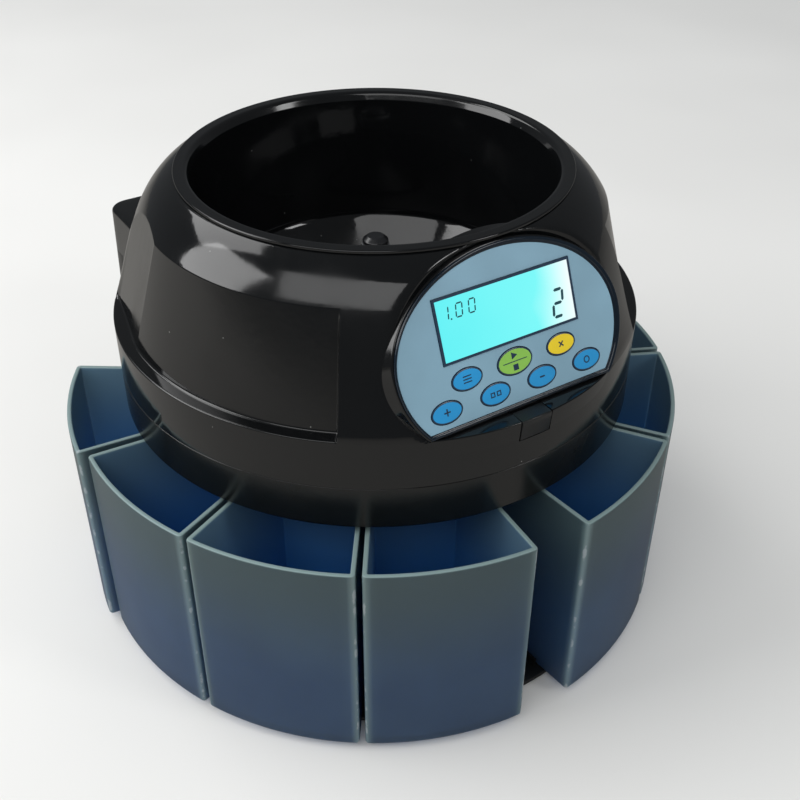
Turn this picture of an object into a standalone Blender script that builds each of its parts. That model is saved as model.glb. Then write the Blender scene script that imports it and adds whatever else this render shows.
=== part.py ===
"""Coin counter that sorts into eight cups, built as the pieces it comes apart into.

Lengths are in metres and angles in degrees. The machine stands on z = 0 with its
control panel facing -Y. Azimuths are counted from -Y towards +X. Pieces are laid
out round the turning axis of the coin disc, and the empty machine_axis then moves
that axis back, so that the centre of the footprint is the world's origin.
"""
from math import acos, asin, cos, pi, radians, sin, sqrt, tan

import bmesh
import bpy
from mathutils import Matrix, Vector

# Clearances
SEAT_GAP = 0.0003
RUN_GAP = 0.0006
OVERRUN = 0.005
MERGE_DISTANCE = 0.00001

# Flats that stand for a full circle
COARSE_STEPS = 16
MIDDLE_STEPS = 32
FINE_STEPS = 52

# Base plate, rails and feet
FOOT_HEIGHT = 0.002
FOOT_RADIUS = 0.011
FOOT_CIRCLE_RADIUS = 0.135
FOOT_COUNT = 4
BASE_RADIUS = 0.160
BASE_THICKNESS = 0.003
RAIL_HEIGHT = 0.005
RAIL_THICKNESS = 0.0013
RAIL_LENGTH = 0.050

# Cups
CUP_COUNT_PER_SIDE = 4
CUP_FIRST_AZIMUTH = 19.6
CUP_PITCH = 30.0
CUP_SPREAD = 28.6
CUP_INNER_RADIUS = 0.1005
CUP_OUTER_RADIUS = 0.1775
CUP_HEIGHT = 0.1253
CUP_WALL = 0.0026
CUP_FLOOR = 0.003
CUP_HEADROOM = 0.0046
CUP_PULLED_OUT = 0.005
CUP_ARC_STEPS = 8

# Column and drive deck
COLUMN_GAP = 0.0035
COLUMN_WALL = 0.003
COLUMN_FLANGE_WIDTH = 0.017
COLUMN_FLANGE_THICKNESS = 0.004
SCREW_RADIUS = 0.0015
SCREW_HEAD_RADIUS = 0.0032
SCREW_HEAD_HEIGHT = 0.0015
SCREW_COUNT = 4
DECK_THICKNESS = 0.002

# Sorting housing and ring
SKIRT_RADIUS = 0.148
SKIRT_WALL = 0.003
SORTING_HEIGHT = 0.0247
SORTING_FLOOR = 0.003
SORTING_FLANGE_WIDTH = 0.014
SORTING_HUB_INSET = 0.002
DIVIDER_THICKNESS = 0.002
WINDOW_INSET = 0.009
SHOULDER_FRONT = 0.060
WINDOW_SPREAD = 20.0
TRACK_THICKNESS = 0.003
RAIL_INSET = 0.015
RAIL_WALL = 0.0055
RAIL_FOOT_WIDTH = 0.004
RAIL_RISE = 0.0038
COIN_DIAMETERS = (0.01625, 0.01875, 0.01975, 0.02125, 0.02225, 0.02325, 0.02425, 0.02575)
COIN_ALLOWANCE = 0.0006
SLOT_MARGIN = 0.0015
SLOT_LENGTH_SHARE = 1.15
SENSOR_DEPTH = 0.003
SENSOR_WIDTH = 0.009
SENSOR_HEIGHT = 0.0055

# Disc, spindle and knob
DISC_THICKNESS = 0.0028
DISC_HUB_RADIUS = 0.014
DISC_FIN_COUNT = 3
DISC_FIN_LENGTH = 0.030
DISC_FIN_WIDTH = 0.003
DISC_FIN_HEIGHT = 0.0022
DISC_FIN_RADIUS = 0.060
SPINDLE_RADIUS = 0.005
SPINDLE_HOUSING_LENGTH = 0.034
SPINDLE_HOUSING_RADIUS = 0.014
SPINDLE_FLANGE_RADIUS = 0.018
SPINDLE_FLANGE_THICKNESS = 0.003
BEARING_RADIUS = 0.011
BEARING_WIDTH = 0.005
CLIP_RADIUS = 0.0078
CLIP_THICKNESS = 0.0014
SPINDLE_TAIL = 0.004
CONE_FOOT_RADIUS = 0.026
CONE_FOOT_HEIGHT = 0.002
CONE_TOP_RADIUS = 0.0062
CONE_HEIGHT = 0.040
CONE_STEPS = 5
CONE_FLARE_POWER = 2.2
SPINDLE_IN_CONE = 0.008
KNOB_RADIUS = 0.0078
KNOB_NECK_RADIUS = 0.0066
KNOB_HEIGHT = 0.0135
KNOB_CROWN = 0.0022
KNOB_TOP_RADIUS = 0.0045

# Motor and gears
GEAR_MODULE = 0.00125
MAIN_GEAR_TEETH = 60
PINION_TEETH = 12
TOOTH_TIP_SHARE = 0.9
TOOTH_ROOT_SHARE = 1.15
TOOTH_TIP_HALF_SHARE = 0.13
TOOTH_ROOT_HALF_SHARE = 0.30
GEAR_WIDTH = 0.006
GEAR_RISE = 0.0025
GEAR_HUB_RADIUS = 0.012
GEAR_HUB_HEIGHT = 0.006
GEAR_HOLE_COUNT = 5
GEAR_HOLE_RADIUS = 0.007
GEAR_HOLE_CIRCLE_RADIUS = 0.0235
MOTOR_RADIUS = 0.0185
MOTOR_LENGTH = 0.057
MOTOR_BOSS_RADIUS = 0.006
MOTOR_SHAFT_RADIUS = 0.0016
MOTOR_CAP_RADIUS = 0.009
MOTOR_CAP_HEIGHT = 0.004

# Cover: dome, skirt and the part of the rear block that lifts with it
COVER_SKIRT_HEIGHT = 0.0275
COVER_WALL = 0.0028
DOME_HEIGHT = 0.0772
DOME_TOP_INSET = 0.0410
DOME_SHOULDER_INSETS = (0.0123, 0.0154)
DOME_SHOULDER_SHARES = (0.408, 0.836)
DOME_STEPS = 8
MOUTH_SHELF = 0.0058
RECESS_START_AZIMUTH = 39.0
RECESS_FOOT_CORNER_AZIMUTH = 98.0
RECESS_TOP_CORNER_AZIMUTH = 89.0
RECESS_FLAT_AZIMUTH = 102.0
RECESS_END_AZIMUTH = 128.0
RECESS_STEP_AZIMUTH = 5.0
RECESS_LEDGE = 0.0068
RECESS_FOOT_HEIGHT = 0.0278
RECESS_LEAN = 0.0153
RECESS_TOP_HEIGHT = 0.0865
RECESS_CUT_HEIGHT = 0.105

# Rear block
BLOCK_HALF_WIDTH = 0.1015
BLOCK_OVERHANG = 0.008
BLOCK_CORNER = 0.012
BLOCK_CORNER_STEPS = 4
BLOCK_DRAFT = 1.4
BLOCK_RISE = 0.043
BLOCK_SEAM_RISE = 0.0145
BLOCK_SEAM_WIDTH = 0.019
REAR_GAP = 0.0035

# Hinge at the rear
HINGE_RADIUS = 0.004
HINGE_PIN_RADIUS = 0.0015
HINGE_KNUCKLE_LENGTH = 0.012
HINGE_SPACING = 0.110
HINGE_ROOT = 0.002
KNUCKLES_PER_HINGE = 3

# Bowl that drops into the dome
BOWL_NECK_GAP = 0.001
BOWL_WALL = 0.0026
BOWL_LIP_HEIGHT = 0.0017
BOWL_LIP_ROUND = 0.0007
BOWL_LIP_FALL = 0.0026
BOWL_LIP_CREST = 0.0030
BOWL_NECK_DROP = 0.080
BOWL_OUTLET_INSET = 0.0136
COIN_GAP = 0.0035

# Control panel
PANEL_TILT = 22.5
PANEL_FOOT_INSET = 0.0105
PANEL_FOOT_HEIGHT = 0.0285
PANEL_HALF_WIDTH = 0.0675
PANEL_MIDDLE = 0.031
PANEL_RISE = 0.050
PANEL_FALL = 0.056
PANEL_CHORD = -0.0015
PANEL_ARC_STEPS = 30
PANEL_ROOT_DEPTH = 0.014
PANEL_ROOT_SPREAD = 0.006
SHELF_LIP_PROUD = 0.0010
SHELF_LIP_AZIMUTH = 23.0
SHELF_LIP_DROP = 0.009
SHELF_LIP_EDGE = 0.0025
SHELF_LIP_ROOT = 0.0015
BEZEL_INSET = 0.0005
BEZEL_WIDTH = 0.0031
BEZEL_THICKNESS = 0.0012
LABEL_THICKNESS = 0.0005
DISPLAY_WIDTH = 0.0814
DISPLAY_HEIGHT = 0.0320
DISPLAY_MIDDLE = 0.0473
DISPLAY_FRAME = 0.0013
DISPLAY_PROUD = 0.0006
MODULE_MARGIN = 0.0015
MODULE_THICKNESS = 0.003
KEY_WIDTH = 0.0176
KEY_HEIGHT = 0.0108
START_KEY_WIDTH = 0.0208
START_KEY_HEIGHT = 0.0132
KEY_PITCH = 0.0284
KEY_LOWER_ROW = 0.0101
KEY_UPPER_ROW = 0.0222
KEY_PROUD = 0.0004
KEY_TRAVEL = 0.0005
KEY_STEPS = 16
KEY_MAT_THICKNESS = 0.002
KEY_MAT_MARGIN = 0.0012
BOARD_THICKNESS = 0.0016
BOARD_HALF_WIDTH = 0.052
BOARD_BOTTOM = 0.004
BOARD_TOP = 0.066

# Latch tab below the panel
LATCH_WIDTH = 0.018
LATCH_THICKNESS = 0.0025
LATCH_LIP_PROUD = 0.0011
LATCH_BACK_INSET = 0.0080
LATCH_SKIRT_INSET = 0.0002
LATCH_FRONT_HEIGHT = 0.0115
LATCH_STEM_INSET = 0.0050
LATCH_STEM_THICKNESS = 0.0018
LATCH_STEM_WIDTH = 0.012
LATCH_STEM_BELOW = 0.004
LATCH_PIVOT_INSET = 0.0025
LATCH_PIVOT_DROP = 0.009

# Rear housing contents
INLET_WIDTH = 0.0270
INLET_HEIGHT = 0.0195
INLET_DEPTH = 0.020
INLET_FLANGE = 0.0025
INLET_FLANGE_THICKNESS = 0.0016
INLET_WALL = 0.0015
INLET_SOCKET_DEPTH = 0.015
INLET_X = 0.058
INLET_Z = 0.034
INLET_PIN_WIDTH = 0.004
INLET_PIN_THICKNESS = 0.002
INLET_PIN_LENGTH = 0.012
INLET_PIN_PITCH = 0.007
INLET_PIN_OFFSET = 0.003
SWITCH_WIDTH = 0.0210
SWITCH_HEIGHT = 0.0150
SWITCH_DEPTH = 0.012
SWITCH_X = 0.058
SWITCH_Z = 0.070
SWITCH_FRAME = 0.002
SWITCH_FRAME_THICKNESS = 0.0016
SWITCH_WALL = 0.0016
ROCKER_TILT = 8.0
ROCKER_HALF_HEIGHT = 0.0050
ROCKER_PIVOT_DEPTH = 0.0018
ROCKER_BACK = 0.0025
ROCKER_END = 0.0034
ROCKER_DISH = 0.0026
TRANSFORMER_WIDTH = 0.050
TRANSFORMER_DEPTH = 0.030
TRANSFORMER_HEIGHT = 0.042
COIL_OVERHANG = 0.006
TRANSFORMER_X = -0.045
TRANSFORMER_SETBACK = 0.0278
POWER_BOARD_WIDTH = 0.062
POWER_BOARD_HEIGHT = 0.060
POWER_BOARD_X = 0.030
POWER_BOARD_FOOT = 0.012
CAPACITOR_RADIUS = 0.005
CAPACITOR_LENGTH = 0.014
CAPACITOR_COUNT = 3

# Levels that follow from the sizes above
BASE_BOTTOM = FOOT_HEIGHT + SEAT_GAP
BASE_TOP = BASE_BOTTOM + BASE_THICKNESS
CUP_BOTTOM = BASE_TOP + SEAT_GAP
SORTING_BOTTOM = CUP_BOTTOM + CUP_HEIGHT + CUP_HEADROOM
SORTING_TOP = SORTING_BOTTOM + SORTING_HEIGHT
COLUMN_TOP = SORTING_BOTTOM - SEAT_GAP
DECK_BOTTOM = SORTING_BOTTOM + SORTING_FLOOR + SEAT_GAP
DECK_TOP = DECK_BOTTOM + DECK_THICKNESS
COVER_BOTTOM = SORTING_TOP + SEAT_GAP
DOME_BOTTOM = COVER_BOTTOM + COVER_SKIRT_HEIGHT
DOME_TOP = DOME_BOTTOM + DOME_HEIGHT
DOME_TOP_RADIUS = SKIRT_RADIUS - DOME_TOP_INSET
MOUTH_RADIUS = DOME_TOP_RADIUS - MOUTH_SHELF
BOWL_MOUTH_RADIUS = MOUTH_RADIUS - BOWL_NECK_GAP - BOWL_WALL
BOWL_OUTLET_RADIUS = BOWL_MOUTH_RADIUS - BOWL_OUTLET_INSET
COLUMN_RADIUS = CUP_INNER_RADIUS - COLUMN_GAP
SORTING_HUB_RADIUS = COLUMN_RADIUS - SORTING_HUB_INSET
WINDOW_INNER_RADIUS = SORTING_HUB_RADIUS + WINDOW_INSET
WINDOW_OUTER_RADIUS = SKIRT_RADIUS - WINDOW_INSET
RAIL_RADIUS = SKIRT_RADIUS - RAIL_INSET
RECESS_FOOT_RADIUS = SKIRT_RADIUS - RECESS_LEDGE
RECESS_TOP_RADIUS = RECESS_FOOT_RADIUS - RECESS_LEAN
TRACK_BOTTOM = COVER_BOTTOM + TRACK_THICKNESS
TRACK_TOP = TRACK_BOTTOM + TRACK_THICKNESS
RAIL_OUTER_RADIUS = RAIL_RADIUS + RAIL_WALL
TRACK_INNER_RADIUS = SORTING_HUB_RADIUS - SKIRT_WALL / 2
DISC_TOP = TRACK_TOP + SEAT_GAP
DISC_BOTTOM = DISC_TOP - DISC_THICKNESS
DISC_RADIUS = TRACK_INNER_RADIUS - RUN_GAP
GEAR_BOTTOM = DECK_TOP + GEAR_RISE
GEAR_TOP = GEAR_BOTTOM + GEAR_WIDTH
GEAR_HUB_TOP = GEAR_TOP + GEAR_HUB_HEIGHT
GEAR_DISTANCE = GEAR_MODULE * (MAIN_GEAR_TEETH + PINION_TEETH) / 2
SPINDLE_BOTTOM = DECK_BOTTOM - SEAT_GAP - SPINDLE_HOUSING_LENGTH - SPINDLE_TAIL
SPINDLE_TOP = DISC_TOP + SPINDLE_IN_CONE
CONE_BOTTOM = DISC_TOP + SEAT_GAP
CONE_TOP = CONE_BOTTOM + CONE_HEIGHT
BOWL_BOTTOM = DISC_TOP + COIN_GAP
PANEL_FOOT = COVER_BOTTOM + PANEL_FOOT_HEIGHT
PANEL_FOOT_DEPTH = SKIRT_RADIUS - PANEL_FOOT_INSET
PANEL_SHELF = PANEL_FOOT + PANEL_CHORD * cos(radians(PANEL_TILT))
SHELF_LIP_RADIUS = SKIRT_RADIUS + SHELF_LIP_PROUD
LATCH_LIP_DEPTH = SKIRT_RADIUS + LATCH_LIP_PROUD
LATCH_BACK_DEPTH = SKIRT_RADIUS - LATCH_BACK_INSET
LATCH_SKIRT_DEPTH = SKIRT_RADIUS - LATCH_SKIRT_INSET
LATCH_STEM_DEPTH = SKIRT_RADIUS - LATCH_STEM_INSET
LATCH_PIVOT_DEPTH = SKIRT_RADIUS - LATCH_PIVOT_INSET
BLOCK_LEAN = tan(radians(BLOCK_DRAFT))
BLOCK_BACK = SKIRT_RADIUS + BLOCK_OVERHANG
BLOCK_TOP_HEIGHT = COVER_BOTTOM + BLOCK_RISE
BLOCK_SEAM_HEIGHT = COVER_BOTTOM + BLOCK_SEAM_RISE
BLOCK_SEAM_DEPTH = BLOCK_BACK - BLOCK_SEAM_WIDTH
REAR_FRONT = COLUMN_RADIUS + REAR_GAP
SEAM_BACK = BLOCK_BACK + (BLOCK_TOP_HEIGHT - BLOCK_SEAM_HEIGHT) * BLOCK_LEAN
HINGE_DEPTH = SEAM_BACK + HINGE_RADIUS + RUN_GAP
REAR_BOTTOM = BASE_TOP + SEAT_GAP
FRONT_REACH = CUP_OUTER_RADIUS * cos(radians(CUP_FIRST_AZIMUTH - CUP_SPREAD / 2))
REAR_REACH = HINGE_DEPTH + HINGE_RADIUS
CUTTER_REACH = REAR_REACH + OVERRUN
AXIS_BACK = (FRONT_REACH - REAR_REACH) / 2


def clear_file():
    """Empty the file of whatever it opened with."""
    for item in list(bpy.data.objects):
        bpy.data.objects.remove(item, do_unlink=True)


def make_collection(name):
    group = bpy.data.collections.new(name)
    bpy.context.scene.collection.children.link(group)
    return group


def make_material(name, color, roughness, metallic=0.0, alpha=1.0):
    """A Principled material with one colour."""
    finish = bpy.data.materials.new(name)
    finish.use_nodes = True
    shader = finish.node_tree.nodes["Principled BSDF"]
    shader.inputs["Base Color"].default_value = (*color, 1.0)
    shader.inputs["Roughness"].default_value = roughness
    shader.inputs["Metallic"].default_value = metallic
    shader.inputs["Alpha"].default_value = alpha
    finish.diffuse_color = (*color, alpha)
    finish.roughness = roughness
    finish.metallic = metallic
    return finish


clear_file()
PARTS = make_collection("coin_counter")
CUTTERS = make_collection("cutters")

BLACK_ABS = make_material("gloss_black_abs", (0.012, 0.013, 0.014), 0.16)
DARK_ABS = make_material("satin_black_abs", (0.020, 0.021, 0.022), 0.42)
CUP_PLASTIC = make_material("frosted_blue_cup_plastic", (0.155, 0.235, 0.360), 0.45)
RUBBER = make_material("black_rubber", (0.018, 0.018, 0.018), 0.85)
STEEL = make_material("bright_steel", (0.560, 0.565, 0.570), 0.30, 1.0)
BRASS = make_material("gear_brass", (0.600, 0.440, 0.180), 0.35, 1.0)
ACETAL = make_material("white_acetal", (0.760, 0.750, 0.700), 0.45)
ALUMINIUM = make_material("cast_aluminium", (0.600, 0.610, 0.620), 0.40, 1.0)
LABEL_FILM = make_material("silver_blue_label", (0.215, 0.305, 0.385), 0.38)
BEZEL_ABS = make_material("blue_black_bezel", (0.012, 0.022, 0.034), 0.25)
DISPLAY_GLOW = make_material("lit_display", (0.330, 0.870, 0.900), 0.20)
BLUE_KEY = make_material("blue_key", (0.020, 0.270, 0.560), 0.40)
GREEN_KEY = make_material("green_key", (0.200, 0.480, 0.130), 0.40)
YELLOW_KEY = make_material("yellow_key", (0.780, 0.560, 0.020), 0.40)
BOARD_GREEN = make_material("circuit_board", (0.020, 0.130, 0.060), 0.45)
SILICONE = make_material("grey_silicone", (0.300, 0.310, 0.320), 0.60)
SENSOR_BLACK = make_material("sensor_black", (0.030, 0.030, 0.035), 0.50)
COPPER = make_material("wound_copper", (0.520, 0.230, 0.090), 0.40, 1.0)


def make_empty(name, parent, place):
    """An empty that carries pieces, at a place given in its parent's axes."""
    empty = bpy.data.objects.new(name, None)
    empty.empty_display_size = OVERRUN
    PARTS.objects.link(empty)
    empty.parent = parent
    empty.matrix_local = place
    return empty


MACHINE_AXIS = make_empty("machine_axis", None, Matrix.Translation((0, AXIS_BACK, 0)))
HINGE_PLACE = Matrix.Translation((0, HINGE_DEPTH, BLOCK_SEAM_HEIGHT))
COVER_HINGE = make_empty("cover_hinge", MACHINE_AXIS, HINGE_PLACE)
PANEL_PLACE = Matrix.Translation((0, -PANEL_FOOT_DEPTH, PANEL_FOOT)) @ Matrix.Rotation(
    pi / 2 - radians(PANEL_TILT), 4, "X")


def link(name, mesh, finish=None, parent=MACHINE_AXIS, undo=None):
    """Put a mesh into the file, as a piece with its material or as a cutter.

    undo takes off the parent's own place, for a mesh that is laid out in the
    machine's axes and yet hangs on a parent somewhere else.
    """
    item = bpy.data.objects.new(name, mesh)
    item.parent = parent
    if undo is not None:
        item.matrix_parent_inverse = undo.inverted()
    if finish is None:
        CUTTERS.objects.link(item)
        item.hide_render = True
        item.display_type = "WIRE"
    else:
        PARTS.objects.link(item)
        mesh.materials.append(finish)
    return item


def smooth(mesh, angle=35.0):
    """Shade round faces smooth and keep the edges that are really sharp."""
    for face in mesh.polygons:
        face.use_smooth = True
    mesh.set_sharp_from_angle(angle=radians(angle))


def turned(name, profile, finish=None, closed=True, steps=MIDDLE_STEPS, **place):
    """A turned piece: a profile of (radius, height) carried round by Screw.

    The profile runs down its outer side first. It is a loop where closed is
    true, and otherwise starts and ends on the axis.
    """
    mesh = bpy.data.meshes.new(name)
    corners = [(radius, 0, height) for radius, height in profile]
    edges = [(i, i + 1) for i in range(len(corners) - 1)]
    if closed:
        edges.append((len(corners) - 1, 0))
    mesh.from_pydata(corners, edges, [])
    item = link(name, mesh, finish, **place)
    turn = item.modifiers.new("Turn", "SCREW")
    turn.steps = steps
    turn.render_steps = steps
    turn.use_merge_vertices = True
    turn.merge_threshold = MERGE_DISTANCE
    return item


def prism(name, outlines, bottom, top, finish=None, **place):
    """A flat outline, with its holes, drawn as a curve and given its thickness."""
    curve = bpy.data.curves.new(name, "CURVE")
    curve.dimensions = "2D"
    curve.fill_mode = "BOTH"
    curve.extrude = (top - bottom) / 2
    for outline in outlines:
        spline = curve.splines.new("POLY")
        spline.points.add(len(outline) - 1)
        for point, (x, y) in zip(spline.points, outline):
            point.co = (x, y, 0, 1)
        spline.use_cyclic_u = True
    guide = bpy.data.objects.new(name + "_outline", curve)
    bpy.context.scene.collection.objects.link(guide)
    bpy.context.view_layer.update()
    drawn = guide.evaluated_get(bpy.context.evaluated_depsgraph_get())
    mesh = bpy.data.meshes.new_from_object(drawn)
    bpy.data.objects.remove(guide)
    shell = bmesh.new()
    shell.from_mesh(mesh)
    bmesh.ops.remove_doubles(shell, verts=shell.verts, dist=MERGE_DISTANCE)
    bmesh.ops.translate(shell, verts=shell.verts, vec=(0, 0, (top + bottom) / 2))
    bmesh.ops.recalc_face_normals(shell, faces=shell.faces)
    shell.to_mesh(mesh)
    shell.free()
    mesh.name = name
    return link(name, mesh, finish, **place)


def box(name, low, high, finish=None, **place):
    """A block between two corners."""
    mesh = bpy.data.meshes.new(name)
    shell = bmesh.new()
    bmesh.ops.create_cube(shell, size=1.0)
    size = [b - a for a, b in zip(low, high)]
    middle = [(a + b) / 2 for a, b in zip(low, high)]
    bmesh.ops.scale(shell, vec=size, verts=shell.verts)
    bmesh.ops.translate(shell, vec=middle, verts=shell.verts)
    shell.to_mesh(mesh)
    shell.free()
    return link(name, mesh, finish, **place)


def loft(name, sections, finish=None, **place):
    """A solid skinned over sections that have the same number of corners."""
    shell = bmesh.new()
    rings = [[shell.verts.new(corner) for corner in section] for section in sections]
    count = len(rings[0])
    for ring, following in zip(rings, rings[1:]):
        for i in range(count):
            j = (i + 1) % count
            shell.faces.new((ring[i], ring[j], following[j], following[i]))
    shell.faces.new(reversed(rings[0]))
    shell.faces.new(rings[-1])
    bmesh.ops.recalc_face_normals(shell, faces=shell.faces)
    mesh = bpy.data.meshes.new(name)
    shell.to_mesh(mesh)
    shell.free()
    return link(name, mesh, finish, **place)


def apply_modifiers(item):
    """Keep an object's evaluated shape as its mesh."""
    bpy.context.view_layer.update()
    evaluated = item.evaluated_get(bpy.context.evaluated_depsgraph_get())
    mesh = bpy.data.meshes.new_from_object(evaluated)
    mesh.name = item.name
    item.modifiers.clear()
    item.data = mesh
    return item


def change(item, other, operation="DIFFERENCE"):
    """Cut another object out of this one, or join or intersect them."""
    boolean = item.modifiers.new(other.name, "BOOLEAN")
    boolean.operation = operation
    boolean.object = other
    return item


def at_azimuth(radius, azimuth, height=None):
    """Point at a radius and an azimuth, flat or at a height."""
    turn = radians(azimuth)
    flat = (radius * sin(turn), -radius * cos(turn))
    return flat if height is None else (*flat, height)


def arc(radius, start, end, steps):
    """Points along an arc round the machine's axis."""
    return [at_azimuth(radius, start + (end - start) * i / steps) for i in range(steps + 1)]


def circle(radius, steps, x=0.0, y=0.0):
    turns = [2 * pi * i / steps for i in range(steps)]
    return [(x + radius * cos(turn), y + radius * sin(turn)) for turn in turns]


def oval(half_width, half_height, steps):
    turns = [2 * pi * i / steps for i in range(steps)]
    return [(half_width * cos(turn), half_height * sin(turn)) for turn in turns]


def rectangle(half_width, low, high):
    return [(-half_width, low), (half_width, low), (half_width, high), (-half_width, high)]


def bar(radius_in, radius_out, azimuth, thickness):
    """Plan of a straight bar that runs outwards at an azimuth."""
    turn = radians(azimuth)
    along = Vector((sin(turn), -cos(turn)))
    across = Vector((cos(turn), sin(turn))) * thickness / 2
    inner = along * radius_in
    outer = along * radius_out
    return [tuple(p) for p in (inner - across, inner + across, outer + across, outer - across)]


def cup_azimuths():
    """Middle of each cup, right side from the front and then left side."""
    right = [CUP_FIRST_AZIMUTH + CUP_PITCH * i for i in range(CUP_COUNT_PER_SIDE)]
    return right + [-azimuth for azimuth in right]


def rail_azimuths():
    """Middle of each gap between cups, and the line beside each end cup."""
    first = CUP_FIRST_AZIMUTH - CUP_PITCH / 2
    right = [first + CUP_PITCH * i for i in range(CUP_COUNT_PER_SIDE + 1)]
    return right + [-azimuth for azimuth in right]


def screw_places(azimuth_shift=0.0):
    radius = COLUMN_RADIUS - COLUMN_FLANGE_WIDTH / 2
    step = 360 / SCREW_COUNT
    return [at_azimuth(radius, azimuth_shift + step * (i + 0.5)) for i in range(SCREW_COUNT)]


def round_holes(name, places, radius, bottom, top):
    outlines = [circle(radius, COARSE_STEPS // 2, *place) for place in places]
    return prism(name, outlines, bottom, top)


def block_outline(height, front, inset=0.0):
    """Plan of the rear block at a height: square in front, round corners behind."""
    spread = (BLOCK_TOP_HEIGHT - height) * BLOCK_LEAN - inset
    half_width = BLOCK_HALF_WIDTH + spread
    back = BLOCK_BACK + spread
    corner = BLOCK_CORNER
    outline = [(-half_width, front), (half_width, front)]
    for side, start in ((1, 0.0), (-1, pi / 2)):
        for i in range(BLOCK_CORNER_STEPS + 1):
            turn = start + pi / 2 * i / BLOCK_CORNER_STEPS
            x = side * (half_width - corner) + corner * cos(turn)
            outline.append((x, back - corner + corner * sin(turn)))
    return outline


def block_solid(name, bottom, top, front, inset=0.0, finish=None, **place):
    """Length of the rear block between two heights, with its draft."""
    sections = []
    for height in (bottom, top):
        sections.append([(x, y, height) for x, y in block_outline(height, front, inset)])
    return loft(name, sections, finish, **place)


def build_base():
    """Base plate with its rails, rubber feet and the screws from below."""
    rear = block_outline(BASE_TOP, 0, COVER_WALL)
    plate = prism("base_plate", [circle(BASE_RADIUS, FINE_STEPS)], BASE_BOTTOM, BASE_TOP, BLACK_ABS)
    tail = prism("base_tail", [rear], BASE_BOTTOM, BASE_TOP)
    change(plate, tail, "UNION")
    inner = CUP_INNER_RADIUS + COLUMN_WALL
    rails = [bar(inner, inner + RAIL_LENGTH, azimuth, RAIL_THICKNESS) for azimuth in rail_azimuths()]
    ribs = prism("base_rails", rails, BASE_BOTTOM + BASE_THICKNESS / 2, BASE_TOP + RAIL_HEIGHT)
    change(plate, ribs, "UNION")
    clearance = SCREW_RADIUS + SEAT_GAP
    holes = round_holes("base_screw_holes", screw_places(), clearance, 0, BASE_TOP + OVERRUN)
    change(plate, holes)

    step = 360 / FOOT_COUNT
    centres = [at_azimuth(FOOT_CIRCLE_RADIUS, step * (i + 0.5)) for i in range(FOOT_COUNT)]
    for number, centre in enumerate(centres, 1):
        prism(f"rubber_foot_{number}", [circle(FOOT_RADIUS, COARSE_STEPS, *centre)], 0, FOOT_HEIGHT,
              RUBBER)

    head_top = BASE_BOTTOM - SEAT_GAP
    head_bottom = head_top - SCREW_HEAD_HEIGHT
    shank_top = REAR_BOTTOM + 2 * COLUMN_FLANGE_THICKNESS
    profile = [(0, shank_top), (SCREW_RADIUS, shank_top), (SCREW_RADIUS, head_top),
               (SCREW_HEAD_RADIUS, head_top), (SCREW_HEAD_RADIUS, head_bottom), (0, head_bottom)]
    for number, place in enumerate(screw_places(), 1):
        screw = turned(f"base_screw_{number}", profile, STEEL, closed=False, steps=COARSE_STEPS // 2)
        screw.location = (*place, 0)


def build_column():
    """Hollow column that the sorting housing and the drive deck stand on."""
    outer = COLUMN_RADIUS
    wall = outer - COLUMN_WALL
    bore = outer - COLUMN_FLANGE_WIDTH
    foot = REAR_BOTTOM + COLUMN_FLANGE_THICKNESS
    head = COLUMN_TOP - COLUMN_FLANGE_THICKNESS
    profile = [(outer, COLUMN_TOP), (outer, REAR_BOTTOM), (bore, REAR_BOTTOM), (bore, foot),
               (wall, foot), (wall, head), (bore, head), (bore, COLUMN_TOP)]
    column = turned("column_housing", profile, BLACK_ABS)
    clearance = SCREW_RADIUS + SEAT_GAP
    low, high = REAR_BOTTOM - OVERRUN, COLUMN_TOP + OVERRUN
    change(column, round_holes("column_screw_holes", screw_places(), clearance, low, high))


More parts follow.
